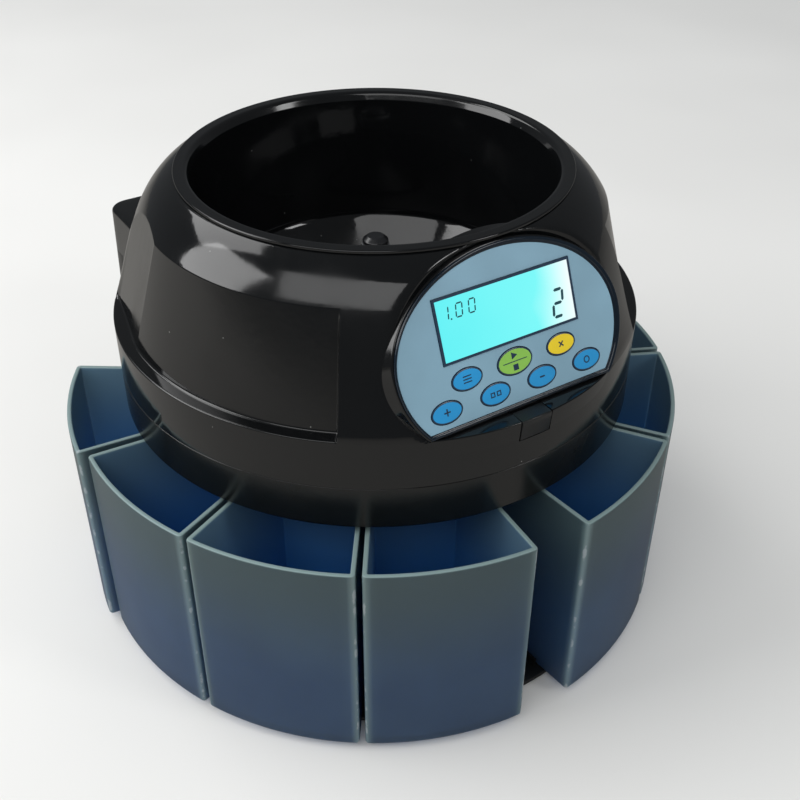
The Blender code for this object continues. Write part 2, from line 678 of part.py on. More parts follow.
def build_sorting_housing():
    """Lower ring of the head: eight chutes, each with a window over its cup."""
    outer = SKIRT_RADIUS
    wall = outer - SKIRT_WALL
    flange = outer - SORTING_FLANGE_WIDTH
    hub = SORTING_HUB_RADIUS
    hub_wall = hub - SKIRT_WALL
    bore = COLUMN_RADIUS - COLUMN_FLANGE_WIDTH
    floor = SORTING_BOTTOM + SORTING_FLOOR
    under = SORTING_TOP - SORTING_FLOOR
    hub_top = TRACK_BOTTOM - SEAT_GAP
    profile = [(outer, SORTING_TOP), (outer, SORTING_BOTTOM), (bore, SORTING_BOTTOM), (bore, floor),
               (hub_wall, floor), (hub_wall, hub_top), (hub, hub_top), (hub, floor),
               (wall, floor), (wall, under), (flange, under), (flange, SORTING_TOP)]
    housing = turned("sorting_housing", profile, BLACK_ABS, steps=FINE_STEPS)
    low, high = SORTING_BOTTOM - OVERRUN, SORTING_TOP + OVERRUN
    shoulders = block_solid("sorting_shoulders", SORTING_BOTTOM, SORTING_TOP, 0)
    keep = prism("sorting_shoulder_limit",
                 [rectangle(CUTTER_REACH, SHOULDER_FRONT, BLOCK_SEAM_DEPTH)], low, high)
    change(shoulders, keep, "INTERSECT")
    wall_middle = outer - SKIRT_WALL / 2
    inside = turned("sorting_inside", [(0, high), (wall_middle, high), (wall_middle, low), (0, low)],
                    closed=False, steps=FINE_STEPS)
    change(shoulders, inside)
    change(housing, shoulders, "UNION")
    reach_in, reach_out = hub - SKIRT_WALL / 2, wall + SKIRT_WALL / 2
    bars = [bar(reach_in, reach_out, azimuth, DIVIDER_THICKNESS) for azimuth in rail_azimuths()]
    dividers = prism("sorting_dividers", bars, floor - SORTING_FLOOR / 2, under + SORTING_FLOOR / 2)
    change(housing, dividers, "UNION")
    half = WINDOW_SPREAD / 2
    windows = []
    for azimuth in cup_azimuths():
        inner = arc(WINDOW_INNER_RADIUS, azimuth - half, azimuth + half, 2)
        outline = arc(WINDOW_OUTER_RADIUS, azimuth + half, azimuth - half, 3)
        windows.append(inner + outline)
    cutter = prism("sorting_windows", windows, low, floor + SORTING_FLOOR / 2)
    change(housing, cutter)
    clearance = SCREW_RADIUS + SEAT_GAP
    holes = round_holes("sorting_screw_holes", screw_places(), clearance, low, floor + OVERRUN)
    change(housing, holes)
    stem = LATCH_STEM_WIDTH / 2 + RUN_GAP
    catch = box("catch_window", (-stem, -wall, under - OVERRUN),
                (stem, -RAIL_OUTER_RADIUS, high))
    change(housing, catch)


def build_sorting_ring():
    """Ring that the coins run round, with eight slots that widen from cup to cup."""
    rail_top = TRACK_TOP + RAIL_RISE
    foot = RAIL_OUTER_RADIUS - RAIL_FOOT_WIDTH
    profile = [(RAIL_OUTER_RADIUS, rail_top), (RAIL_OUTER_RADIUS, COVER_BOTTOM), (foot, COVER_BOTTOM),
               (foot, TRACK_BOTTOM), (TRACK_INNER_RADIUS, TRACK_BOTTOM),
               (TRACK_INNER_RADIUS, TRACK_TOP), (RAIL_RADIUS, TRACK_TOP), (RAIL_RADIUS, rail_top)]
    ring = turned("sorting_ring", profile, ALUMINIUM, steps=FINE_STEPS)
    outer = RAIL_RADIUS - SLOT_MARGIN
    slots = []
    for azimuth, coin in zip(sorted(cup_azimuths(), reverse=True), COIN_DIAMETERS):
        inner = RAIL_RADIUS - coin - COIN_ALLOWANCE
        slots.append(bar(inner, outer, azimuth, coin * SLOT_LENGTH_SHARE))
    cutter = prism("coin_slots", slots, TRACK_BOTTOM - OVERRUN, TRACK_TOP + OVERRUN)
    change(ring, cutter)

    inner = RAIL_OUTER_RADIUS + RUN_GAP
    outer = inner + SENSOR_DEPTH
    board_top = COVER_BOTTOM + BOARD_THICKNESS
    profile = [(outer, board_top), (outer, COVER_BOTTOM), (inner, COVER_BOTTOM), (inner, board_top)]
    board = turned("sensor_board", profile, BOARD_GREEN, steps=FINE_STEPS)
    blocks = [bar(inner, outer, azimuth, SENSOR_WIDTH) for azimuth in cup_azimuths()]
    bodies = prism("sensor_bodies", blocks, COVER_BOTTOM, COVER_BOTTOM + SENSOR_HEIGHT)
    change(board, bodies, "UNION")
    room = LATCH_STEM_WIDTH / 2 + LATCH_THICKNESS
    notch = box("sensor_board_gap", (-room, -SKIRT_RADIUS, COVER_BOTTOM - OVERRUN),
                (room, 0, board_top + OVERRUN))
    change(board, notch)


def build_drive_deck():
    """Steel deck with the motor that hangs below it and drives the pinion."""
    motor = (0, GEAR_DISTANCE)
    radius = SORTING_HUB_RADIUS - SKIRT_WALL - RUN_GAP
    outlines = [circle(radius, MIDDLE_STEPS), circle(SPINDLE_RADIUS + RUN_GAP, COARSE_STEPS),
                circle(MOTOR_BOSS_RADIUS + SEAT_GAP, COARSE_STEPS, *motor)]
    prism("drive_deck", outlines, DECK_BOTTOM, DECK_TOP, STEEL)

    motor_place = Matrix.Translation((0, GEAR_DISTANCE, 0))
    mount = make_empty("motor_axis", MACHINE_AXIS, motor_place)
    can_top = DECK_BOTTOM - SEAT_GAP
    can_bottom = can_top - MOTOR_LENGTH
    boss_top = DECK_TOP + SEAT_GAP
    chamfer = MOTOR_CAP_HEIGHT / 4
    shaft_bore = MOTOR_SHAFT_RADIUS + RUN_GAP
    profile = [(MOTOR_BOSS_RADIUS, boss_top), (MOTOR_BOSS_RADIUS, can_top),
               (MOTOR_RADIUS, can_top), (MOTOR_RADIUS, can_bottom + chamfer),
               (MOTOR_RADIUS - chamfer, can_bottom), (MOTOR_CAP_RADIUS, can_bottom),
               (MOTOR_CAP_RADIUS, can_bottom - MOTOR_CAP_HEIGHT), (0, can_bottom - MOTOR_CAP_HEIGHT),
               (0, can_top - MOTOR_CAP_HEIGHT), (shaft_bore, can_top - MOTOR_CAP_HEIGHT),
               (shaft_bore, boss_top)]
    turned("drive_motor", profile, STEEL, steps=COARSE_STEPS, parent=mount)

    shaft_bottom = can_top - MOTOR_CAP_HEIGHT + SEAT_GAP
    shaft = [(0, GEAR_TOP + SEAT_GAP), (MOTOR_SHAFT_RADIUS, GEAR_TOP + SEAT_GAP),
             (MOTOR_SHAFT_RADIUS, shaft_bottom), (0, shaft_bottom)]
    turned("motor_shaft", shaft, STEEL, closed=False, steps=COARSE_STEPS, parent=mount)
    half_tooth = 180 / PINION_TEETH
    teeth = gear_outline(PINION_TEETH, half_tooth)
    bore = circle(MOTOR_SHAFT_RADIUS + SEAT_GAP, COARSE_STEPS)
    prism("motor_pinion", [teeth, bore], GEAR_BOTTOM, GEAR_TOP, BRASS, parent=mount)


def gear_outline(teeth, shift):
    """Straight-flanked teeth; a tooth's middle lies at the shift from +Y."""
    pitch_radius = GEAR_MODULE * teeth / 2
    tip = pitch_radius + GEAR_MODULE * TOOTH_TIP_SHARE
    root = pitch_radius - GEAR_MODULE * TOOTH_ROOT_SHARE
    pitch = 360 / teeth
    outline = []
    for i in range(teeth):
        middle = pitch * i + shift + 90
        corners = ((root, -TOOTH_ROOT_HALF_SHARE), (tip, -TOOTH_TIP_HALF_SHARE),
                   (tip, TOOTH_TIP_HALF_SHARE), (root, TOOTH_ROOT_HALF_SHARE))
        for radius, share in corners:
            turn = radians(middle + pitch * share)
            outline.append((radius * cos(turn), radius * sin(turn)))
    return outline


def build_spindle():
    """Spindle with its bearings, the main gear, the disc and the centre post."""
    flange_top = DECK_BOTTOM - SEAT_GAP
    bottom = flange_top - SPINDLE_HOUSING_LENGTH
    bearing_bore = BEARING_RADIUS + SEAT_GAP
    lip = CLIP_RADIUS + RUN_GAP
    under = flange_top - SPINDLE_FLANGE_THICKNESS
    journal = SPINDLE_RADIUS + SEAT_GAP
    low = bottom + SEAT_GAP
    high = flange_top - SEAT_GAP - BEARING_WIDTH
    step_low = low + BEARING_WIDTH + SEAT_GAP
    step_high = high - SEAT_GAP
    profile = [(SPINDLE_FLANGE_RADIUS, flange_top), (SPINDLE_FLANGE_RADIUS, under),
               (SPINDLE_HOUSING_RADIUS, under), (SPINDLE_HOUSING_RADIUS, bottom),
               (bearing_bore, bottom), (bearing_bore, step_low), (lip, step_low), (lip, step_high),
               (bearing_bore, step_high), (bearing_bore, flange_top)]
    turned("spindle_housing", profile, ALUMINIUM, steps=COARSE_STEPS)

    for name, level in (("lower_bearing", low), ("upper_bearing", high)):
        ring = [(BEARING_RADIUS, level + BEARING_WIDTH), (BEARING_RADIUS, level),
                (journal, level), (journal, level + BEARING_WIDTH)]
        turned(name, ring, STEEL, steps=COARSE_STEPS)
    shaft = [(0, SPINDLE_TOP), (SPINDLE_RADIUS, SPINDLE_TOP),
             (SPINDLE_RADIUS, SPINDLE_BOTTOM), (0, SPINDLE_BOTTOM)]
    turned("disc_spindle", shaft, STEEL, closed=False, steps=COARSE_STEPS)
    clip_top = low - RUN_GAP
    clip = [(CLIP_RADIUS, clip_top), (CLIP_RADIUS, clip_top - CLIP_THICKNESS),
            (journal, clip_top - CLIP_THICKNESS), (journal, clip_top)]
    turned("spindle_clip", clip, STEEL, steps=COARSE_STEPS)

    holes = []
    for i in range(GEAR_HOLE_COUNT):
        place = at_azimuth(GEAR_HOLE_CIRCLE_RADIUS, 360 * i / GEAR_HOLE_COUNT)
        holes.append(circle(GEAR_HOLE_RADIUS, COARSE_STEPS // 2, *place))
    bore = circle(journal, COARSE_STEPS)
    teeth = gear_outline(MAIN_GEAR_TEETH, 0.0)
    gear = prism("main_gear", [teeth, bore] + holes, GEAR_BOTTOM, GEAR_TOP, ACETAL)
    hub = prism("main_gear_hub", [circle(GEAR_HUB_RADIUS, COARSE_STEPS), bore],
                GEAR_TOP - GEAR_WIDTH / 2, GEAR_HUB_TOP)
    change(gear, hub, "UNION")

    hub_bottom = GEAR_HUB_TOP + SEAT_GAP
    profile = [(DISC_RADIUS, DISC_TOP), (DISC_RADIUS, DISC_BOTTOM), (DISC_HUB_RADIUS, DISC_BOTTOM),
               (DISC_HUB_RADIUS, hub_bottom), (journal, hub_bottom), (journal, DISC_TOP)]
    disc = turned("coin_disc", profile, DARK_ABS, steps=FINE_STEPS)
    half = DISC_FIN_LENGTH / 2
    fins = []
    for i in range(DISC_FIN_COUNT):
        azimuth = 360 * i / DISC_FIN_COUNT
        fins.append(bar(DISC_FIN_RADIUS - half, DISC_FIN_RADIUS + half, azimuth, DISC_FIN_WIDTH))
    cutter = prism("disc_fins", fins, DISC_TOP - DISC_THICKNESS / 2, DISC_TOP + DISC_FIN_HEIGHT)
    change(disc, cutter, "UNION")

    socket_top = SPINDLE_TOP + SEAT_GAP
    slope = []
    for i in range(CONE_STEPS + 1):
        share = i / CONE_STEPS
        radius = CONE_TOP_RADIUS + (CONE_FOOT_RADIUS - CONE_TOP_RADIUS) * share ** CONE_FLARE_POWER
        height = CONE_TOP + (CONE_BOTTOM + CONE_FOOT_HEIGHT - CONE_TOP) * share
        slope.append((radius, height))
    profile = [(0, CONE_TOP)] + slope
    profile += [(CONE_FOOT_RADIUS, CONE_BOTTOM), (journal, CONE_BOTTOM), (journal, socket_top),
                (0, socket_top)]
    turned("disc_cone", profile, DARK_ABS, closed=False)

    low = CONE_TOP + SEAT_GAP
    high = low + KNOB_HEIGHT
    crown = high - KNOB_CROWN
    profile = [(0, high), (KNOB_TOP_RADIUS, high), (KNOB_RADIUS, crown),
               (KNOB_RADIUS, low + KNOB_HEIGHT / 2), (KNOB_NECK_RADIUS, low), (0, low)]
    turned("disc_knob", profile, ALUMINIUM, closed=False, steps=COARSE_STEPS)


def cup_outline(inset):
    """Plan of a cup whose middle points to -Y, with its wall taken off by inset."""
    inner = CUP_INNER_RADIUS + inset
    outer = CUP_OUTER_RADIUS - inset
    half = CUP_SPREAD / 2
    inner_half = half - asin(inset / inner) * 180 / pi
    outer_half = half - asin(inset / outer) * 180 / pi
    near = arc(inner, -inner_half, inner_half, CUP_ARC_STEPS // 2)
    far = arc(outer, outer_half, -outer_half, CUP_ARC_STEPS)
    return near + far


def build_cups():
    """Eight open cups; the rear one on the left stands a little pulled out."""
    top = CUP_BOTTOM + CUP_HEIGHT
    cup = prism("cup_1", [cup_outline(0)], CUP_BOTTOM, top, CUP_PLASTIC)
    pocket = prism("cup_pocket", [cup_outline(CUP_WALL)], CUP_BOTTOM + CUP_FLOOR, top + OVERRUN)
    change(cup, pocket)
    apply_modifiers(cup)
    azimuths = cup_azimuths()
    for number, azimuth in enumerate(azimuths, 1):
        item = cup
        if number > 1:
            item = bpy.data.objects.new(f"cup_{number}", cup.data)
            item.parent = MACHINE_AXIS
            PARTS.objects.link(item)
        item.rotation_euler = (0, 0, radians(azimuth))
        if number == len(azimuths):
            item.location = (*at_azimuth(CUP_PULLED_OUT, azimuth), 0)


def dome_curve(inset=0.0):
    """Side of the dome from its foot to its top, as a cubic curve drawn in by inset."""
    ends = [Vector((SKIRT_RADIUS, DOME_BOTTOM))]
    for shoulder, share in zip(DOME_SHOULDER_INSETS, DOME_SHOULDER_SHARES):
        ends.append(Vector((SKIRT_RADIUS - shoulder, DOME_BOTTOM + DOME_HEIGHT * share)))
    ends.append(Vector((DOME_TOP_RADIUS, DOME_TOP)))
    points = []
    for i in range(DOME_STEPS + 1):
        t = i / DOME_STEPS
        u = 1 - t
        spot = ends[0] * u ** 3 + ends[1] * 3 * u * u * t + ends[2] * 3 * u * t * t + ends[3] * t ** 3
        tangent = (ends[1] - ends[0]) * u * u + (ends[2] - ends[1]) * 2 * u * t
        tangent += (ends[3] - ends[2]) * t * t
        normal = Vector((tangent.y, -tangent.x)).normalized()
        points.append(tuple(spot - normal * inset))
    return points


def recess_sections(grow):
    """Radial sections of a side recess: round as far as its corner, then one flat.

    The corner leans forward as it rises. grow widens the recess by a wall's thickness.
    """
    turn = grow / RECESS_FOOT_RADIUS * 180 / pi
    start = RECESS_START_AZIMUTH - turn
    end = RECESS_END_AZIMUTH + turn
    count = round((RECESS_FOOT_CORNER_AZIMUTH - start) / RECESS_STEP_AZIMUTH)
    foot = COVER_BOTTOM + RECESS_FOOT_HEIGHT
    top = COVER_BOTTOM + RECESS_TOP_HEIGHT
    lean = (RECESS_FOOT_RADIUS - RECESS_TOP_RADIUS) / (top - foot)
    swing = (RECESS_FOOT_CORNER_AZIMUTH - RECESS_TOP_CORNER_AZIMUTH) / (top - foot)
    rims = []
    for level in (foot - grow, COVER_BOTTOM + RECESS_CUT_HEIGHT):
        radius = RECESS_FOOT_RADIUS - lean * (level - foot) - grow
        corner = RECESS_FOOT_CORNER_AZIMUTH - swing * (level - foot)
        rim = [(radius, start + (corner - start) * i / count, level) for i in range(count + 1)]
        flat = radius * cos(radians(corner - RECESS_FLAT_AZIMUTH))
        rim.append((flat / cos(radians(end - RECESS_FLAT_AZIMUTH)), end, level))
        rims.append(rim)
    sections = []
    for low, high in zip(*rims):
        sections.append([at_azimuth(*low), at_azimuth(CUTTER_REACH, *low[1:]),
                         at_azimuth(CUTTER_REACH, *high[1:]), at_azimuth(*high)])
    return sections


def mirrored(sections):
    return [[(-x, y, z) for x, y, z in section] for section in sections]


def panel_outline(inset=0.0, steps=PANEL_ARC_STEPS):
    """Outline of the control panel: two half ovals cut straight along the foot."""
    half_width = PANEL_HALF_WIDTH - inset
    rise = PANEL_RISE - inset
    fall = PANEL_FALL - inset
    chord = PANEL_CHORD + inset
    start = -asin((PANEL_MIDDLE - chord) / fall)
    turns = [start + (pi - 2 * start) * i / steps for i in range(steps + 1)]
    outline = []
    for turn in turns:
        height = rise if sin(turn) > 0 else fall
        outline.append((half_width * cos(turn), PANEL_MIDDLE + height * sin(turn)))
    return outline


def key_places():
    """Name, middle on the panel and half sizes of each key, left to right."""
    places = []
    lower = ("key_plus", "key_list", "key_minus", "key_set")
    for i, name in enumerate(lower):
        middle = ((i - (len(lower) - 1) / 2) * KEY_PITCH, KEY_LOWER_ROW)
        places.append((name, middle, KEY_WIDTH / 2, KEY_HEIGHT / 2, BLUE_KEY))
    upper = (("key_report", BLUE_KEY), ("key_start", GREEN_KEY), ("key_clear", YELLOW_KEY))
    for i, (name, finish) in enumerate(upper):
        middle = ((i - (len(upper) - 1) / 2) * KEY_PITCH, KEY_UPPER_ROW)
        start = name == "key_start"
        half_width = (START_KEY_WIDTH if start else KEY_WIDTH) / 2
        half_height = (START_KEY_HEIGHT if start else KEY_HEIGHT) / 2
        places.append((name, middle, half_width, half_height, finish))
    return places


def key_holes(clearance):
    """Outlines of all the keys on the panel, widened by a clearance."""
    outlines = []
    for _, middle, half_width, half_height, _ in key_places():
        shape = oval(half_width + clearance, half_height + clearance, KEY_STEPS)
        outlines.append([(x + middle[0], y + middle[1]) for x, y in shape])
    return outlines


def display_outline(clearance=0.0):
    half_height = DISPLAY_HEIGHT / 2 + clearance
    low, high = DISPLAY_MIDDLE - half_height, DISPLAY_MIDDLE + half_height
    return rectangle(DISPLAY_WIDTH / 2 + clearance, low, high)


def panel_cut(name, inset):
    """All that lies in front of the panel, inside its outline and above the shelf."""
    lean = tan(radians(PANEL_TILT))
    rise = DOME_TOP + OVERRUN - PANEL_FOOT
    low = PANEL_SHELF - inset
    depth = PANEL_FOOT_DEPTH - inset / cos(radians(PANEL_TILT))
    profile = [(-depth + (low - PANEL_FOOT) * lean, low), (-CUTTER_REACH, low),
               (-CUTTER_REACH, PANEL_FOOT + rise), (-depth + rise * lean, PANEL_FOOT + rise)]
    half = PANEL_HALF_WIDTH + inset + OVERRUN
    slab = loft(name, [[(x, y, z) for y, z in profile] for x in (-half, half)])
    outline = panel_outline(-inset)
    reach = SHELF_LIP_RADIUS - PANEL_FOOT_DEPTH + OVERRUN
    drop = PANEL_CHORD - inset - reach * lean - OVERRUN
    outline += [(outline[-1][0], drop), (outline[0][0], drop)]
    limit = prism(name + "_limit", [outline], -inset - OVERRUN, reach)
    limit.matrix_local = PANEL_PLACE
    return change(slab, limit, "INTERSECT")


def build_cover():
    """Cover in one moulding: skirt, dome, panel seat, side recesses and block top."""
    top_flat = (MOUTH_RADIUS, DOME_TOP)
    profile = [(0, DOME_TOP), top_flat] + list(reversed(dome_curve()))
    profile += [(SKIRT_RADIUS, COVER_BOTTOM), (0, COVER_BOTTOM)]
    cover = turned("hopper_cover", profile, BLACK_ABS, closed=False, steps=FINE_STEPS,
                   parent=COVER_HINGE, undo=HINGE_PLACE)
    block = block_solid("cover_block", COVER_BOTTOM, BLOCK_TOP_HEIGHT, 0)
    seam = BLOCK_SEAM_HEIGHT + SEAT_GAP
    notch = box("cover_block_notch", (-CUTTER_REACH, BLOCK_SEAM_DEPTH, 0),
                (CUTTER_REACH, CUTTER_REACH, seam))
    change(block, notch)
    change(cover, block, "UNION")
    for side, fold in (("right", list), ("left", mirrored)):
        change(cover, loft(f"{side}_recess", fold(recess_sections(0))))
    change(cover, panel_cut("panel_cut", 0))
    near = [(x, y, 0) for x, y in panel_outline()]
    far = [(x, y, -PANEL_ROOT_DEPTH) for x, y in panel_outline(-PANEL_ROOT_SPREAD)]
    place = {"parent": MACHINE_AXIS}
    seat = loft("panel_seat", [near, far], **place)
    seat.matrix_local = PANEL_PLACE
    change(cover, seat, "UNION")
    change(cover, shelf_lip(), "UNION")

    inner = [(MOUTH_RADIUS, DOME_TOP + OVERRUN), (MOUTH_RADIUS, DOME_TOP - COVER_WALL)]
    curve = [point for point in reversed(dome_curve(COVER_WALL)) if point[0] > MOUTH_RADIUS]
    inner += curve[1:]
    inner += [(SKIRT_RADIUS - SKIRT_WALL, DOME_BOTTOM), (SKIRT_RADIUS - SKIRT_WALL, COVER_BOTTOM - OVERRUN)]
    inner = [(0, DOME_TOP + OVERRUN)] + inner + [(0, COVER_BOTTOM - OVERRUN)]
    hollow = turned("cover_hollow", inner, closed=False, steps=FINE_STEPS)
    # Half a flat of turn keeps the hollow's edges off the dome's own edges.
    hollow.rotation_euler = (0, 0, pi / FINE_STEPS)
    room = block_solid("cover_block_room", COVER_BOTTOM - OVERRUN, BLOCK_TOP_HEIGHT - COVER_WALL, 0,
                       COVER_WALL)
    room_floor = box("cover_room_floor",
                     (-CUTTER_REACH, BLOCK_SEAM_DEPTH - COVER_WALL, 0),
                     (CUTTER_REACH, CUTTER_REACH, seam + COVER_WALL))
    change(room, room_floor)
    change(hollow, room, "UNION")
    for side, fold in (("right", list), ("left", mirrored)):
        change(hollow, loft(f"{side}_recess_wall", fold(recess_sections(COVER_WALL))))
    change(hollow, panel_cut("panel_wall", COVER_WALL))
    change(cover, hollow)

    cuts = [display_outline(SEAT_GAP)] + key_holes(RUN_GAP)
    holes = prism("panel_openings", cuts, -COVER_WALL - OVERRUN, OVERRUN)
    holes.matrix_local = PANEL_PLACE
    change(cover, holes)
    half = LATCH_WIDTH / 2 + RUN_GAP
    slot_low = PANEL_SHELF - LATCH_FRONT_HEIGHT - RUN_GAP
    slot = box("latch_slot", (-half, -LATCH_LIP_DEPTH - OVERRUN, slot_low),
               (half, -LATCH_BACK_DEPTH + RUN_GAP, PANEL_SHELF + OVERRUN))
    change(cover, slot)
    add_cover_knuckles(cover)


def shelf_lip():
    """Edge below the panel that stands out past the skirt."""
    top = PANEL_SHELF
    low = top - SHELF_LIP_DROP
    edge = top - SHELF_LIP_EDGE
    inner = SKIRT_RADIUS - SHELF_LIP_ROOT
    corners = ((inner, low), (SKIRT_RADIUS, low), (SHELF_LIP_RADIUS, edge),
               (SHELF_LIP_RADIUS, top), (inner, top))
    count = COARSE_STEPS // 2
    sections = []
    for i in range(count + 1):
        azimuth = SHELF_LIP_AZIMUTH * (2 * i / count - 1)
        sections.append([at_azimuth(radius, azimuth, height) for radius, height in corners])
    return loft("shelf_lip", sections)


def knuckle(name, x, root_side, bore):
    """One hinge knuckle with its root on the block, above or below the seam."""
    half = HINGE_KNUCKLE_LENGTH / 2
    root_far = BLOCK_BACK - HINGE_ROOT
    steps = COARSE_STEPS // 2
    barrel = [(0, half), (HINGE_RADIUS, half), (HINGE_RADIUS, -half), (0, -half)]
    item = turned(name, barrel, closed=False, steps=steps)
    place = Matrix.Translation((x, HINGE_DEPTH, BLOCK_SEAM_HEIGHT)) @ Matrix.Rotation(pi / 2, 4, "Y")
    item.matrix_local = place
    level = BLOCK_SEAM_HEIGHT + root_side * 2 * SEAT_GAP
    rim = BLOCK_SEAM_HEIGHT + root_side * HINGE_RADIUS
    root = box(name + "_root", (x - half, root_far, min(level, rim)),
               (x + half, HINGE_DEPTH, max(level, rim)))
    hole = turned(name + "_bore", [(0, half + OVERRUN), (bore, half + OVERRUN),
                                   (bore, -half - OVERRUN), (0, -half - OVERRUN)],
                  closed=False, steps=steps)
    hole.matrix_local = place
    return item, root, hole


def hinge_positions():
    """Middles of the fixed knuckles, one for each of the two hinges."""
    return (-HINGE_SPACING / 2, HINGE_SPACING / 2)


def add_cover_knuckles(cover):
    step = HINGE_KNUCKLE_LENGTH + SEAT_GAP
    for number, middle in enumerate(hinge_positions(), 1):
        for side, shift in (("inner", -step), ("outer", step)):
            parts = knuckle(f"cover_knuckle_{side}_{number}", middle + shift, 1,
                            HINGE_PIN_RADIUS + SEAT_GAP)
            item, root, hole = parts
            change(cover, item, "UNION")
            change(cover, root, "UNION")
            change(cover, hole)


def build_rear_housing():
    """Fixed lower part of the rear block, which holds the mains side."""
    housing = block_solid("rear_housing", REAR_BOTTOM, BLOCK_SEAM_HEIGHT, REAR_FRONT, finish=BLACK_ABS)
    ledge = SORTING_BOTTOM - SEAT_GAP
    high = BLOCK_SEAM_HEIGHT + OVERRUN
    shoulder = box("rear_notch", (-CUTTER_REACH, 0, ledge),
                   (CUTTER_REACH, BLOCK_SEAM_DEPTH + SEAT_GAP, high))
    change(housing, shoulder)
    radius = SKIRT_RADIUS + RUN_GAP
    drum = turned("rear_drum", [(0, high), (radius, high), (radius, ledge), (0, ledge)],
                  closed=False, steps=FINE_STEPS)
    change(housing, drum)

    room = block_solid("rear_room", REAR_BOTTOM - OVERRUN, BLOCK_SEAM_HEIGHT - COVER_WALL,
                       REAR_FRONT + COVER_WALL, COVER_WALL)
    low = ledge - COVER_WALL
    room_notch = box("rear_room_notch", (-CUTTER_REACH, 0, low),
                     (CUTTER_REACH, BLOCK_SEAM_DEPTH + SEAT_GAP + COVER_WALL, high))
    change(room, room_notch)
    radius += COVER_WALL
    room_drum = turned("rear_room_drum", [(0, high), (radius, high), (radius, low), (0, low)],
                       closed=False, steps=FINE_STEPS)
    change(room, room_drum)
    change(housing, room)
    wall_cut = BLOCK_BACK - BLOCK_CORNER
    deep = CUTTER_REACH
    for name, x, z, width, height in (("inlet_hole", INLET_X, INLET_Z, INLET_WIDTH, INLET_HEIGHT),
                                      ("switch_hole", SWITCH_X, SWITCH_Z, SWITCH_WIDTH, SWITCH_HEIGHT)):
        half_width = width / 2 + SEAT_GAP
        half_height = height / 2 + SEAT_GAP
        hole = box(name, (x - half_width, wall_cut, z - half_height),
                   (x + half_width, deep, z + half_height))
        change(housing, hole)
    for number, middle in enumerate(hinge_positions(), 1):
        item, root, hole = knuckle(f"rear_knuckle_{number}", middle, -1, HINGE_PIN_RADIUS + SEAT_GAP)
        change(housing, item, "UNION")
        change(housing, root, "UNION")
        change(housing, hole)

    half = HINGE_KNUCKLE_LENGTH * KNUCKLES_PER_HINGE / 2
    for number, middle in enumerate(hinge_positions(), 1):
        pin = turned(f"hinge_pin_{number}", [(0, half), (HINGE_PIN_RADIUS, half),
                                             (HINGE_PIN_RADIUS, -half), (0, -half)],
                     STEEL, closed=False, steps=COARSE_STEPS // 2)
        pin.matrix_local = Matrix.Translation((middle, HINGE_DEPTH, BLOCK_SEAM_HEIGHT)) @ Matrix.Rotation(
            pi / 2, 4, "Y")


def build_bowl():
    """Bowl that drops into the dome's mouth: lip that falls inwards, straight wall, funnel."""
    lip = DOME_TOP_RADIUS
    seat = DOME_TOP + SEAT_GAP
    crest = seat + BOWL_LIP_HEIGHT
    turn = BOWL_LIP_ROUND
    inner = BOWL_MOUTH_RADIUS
    outer = inner + BOWL_WALL
    neck = crest - BOWL_NECK_DROP
    outlet = BOWL_OUTLET_RADIUS
    fall = crest - BOWL_LIP_FALL
    profile = [(lip - turn, crest), (lip, crest - turn), (lip, seat), (outer, seat),
               (outer, neck), (outlet + BOWL_WALL, BOWL_BOTTOM), (outlet, BOWL_BOTTOM),
               (inner, neck + BOWL_WALL / 2), (inner, fall - turn), (inner + turn / 2, fall),
               (lip - BOWL_LIP_CREST - turn, crest - turn / 2), (lip - BOWL_LIP_CREST, crest)]
    turned("hopper_bowl", profile, BLACK_ABS, steps=FINE_STEPS, parent=COVER_HINGE, undo=HINGE_PLACE)


def on_panel(item):
    """Hang a piece laid out on the panel's plane on the cover's hinge."""
    item.matrix_basis = PANEL_PLACE @ item.matrix_basis
    return item


def build_panel():
    """Label, bezel, display, keys, key mat and board behind the panel."""
    cover = {"parent": COVER_HINGE, "undo": HINGE_PLACE}
    low = SEAT_GAP
    label_edge = BEZEL_INSET + BEZEL_WIDTH
    bezel = [panel_outline(BEZEL_INSET), panel_outline(label_edge)]
    on_panel(prism("panel_bezel", bezel, low, low + BEZEL_THICKNESS, BEZEL_ABS, **cover))
    film = [panel_outline(label_edge + SEAT_GAP), display_outline(SEAT_GAP)] + key_holes(RUN_GAP)
    on_panel(prism("panel_label", film, low, low + LABEL_THICKNESS, LABEL_FILM, **cover))

    face = low + LABEL_THICKNESS + DISPLAY_PROUD
    glass_back = -COVER_WALL - SEAT_GAP
    on_panel(prism("display_window", [display_outline()], glass_back, face, DISPLAY_GLOW, **cover))
    module_top = glass_back - SEAT_GAP
    module_back = module_top - MODULE_THICKNESS
    on_panel(prism("display_module", [display_outline(MODULE_MARGIN)], module_back, module_top,
                   DARK_ABS, **cover))
    board_top = module_back - SEAT_GAP
    board = rectangle(BOARD_HALF_WIDTH, BOARD_BOTTOM, BOARD_TOP)
    on_panel(prism("control_board", [board], board_top - BOARD_THICKNESS, board_top, BOARD_GREEN, **cover))
    mat_back = board_top + SEAT_GAP
    mat_front = mat_back + KEY_MAT_THICKNESS
    mat_top = DISPLAY_MIDDLE - DISPLAY_HEIGHT / 2 - MODULE_MARGIN - KEY_MAT_MARGIN / 2
    mat = rectangle(BOARD_HALF_WIDTH, BOARD_BOTTOM, mat_top)
    on_panel(prism("key_mat", [mat], mat_back, mat_front, SILICONE, **cover))

    key_back = mat_front + KEY_TRAVEL + SEAT_GAP
    key_front = low + LABEL_THICKNESS + KEY_PROUD
    for name, middle, half_width, half_height, finish in key_places():
        shape = oval(half_width, half_height, KEY_STEPS)
        key = prism(name, [shape], key_back, key_front, finish, **cover)
        key.location = (*middle, 0)
        on_panel(key)


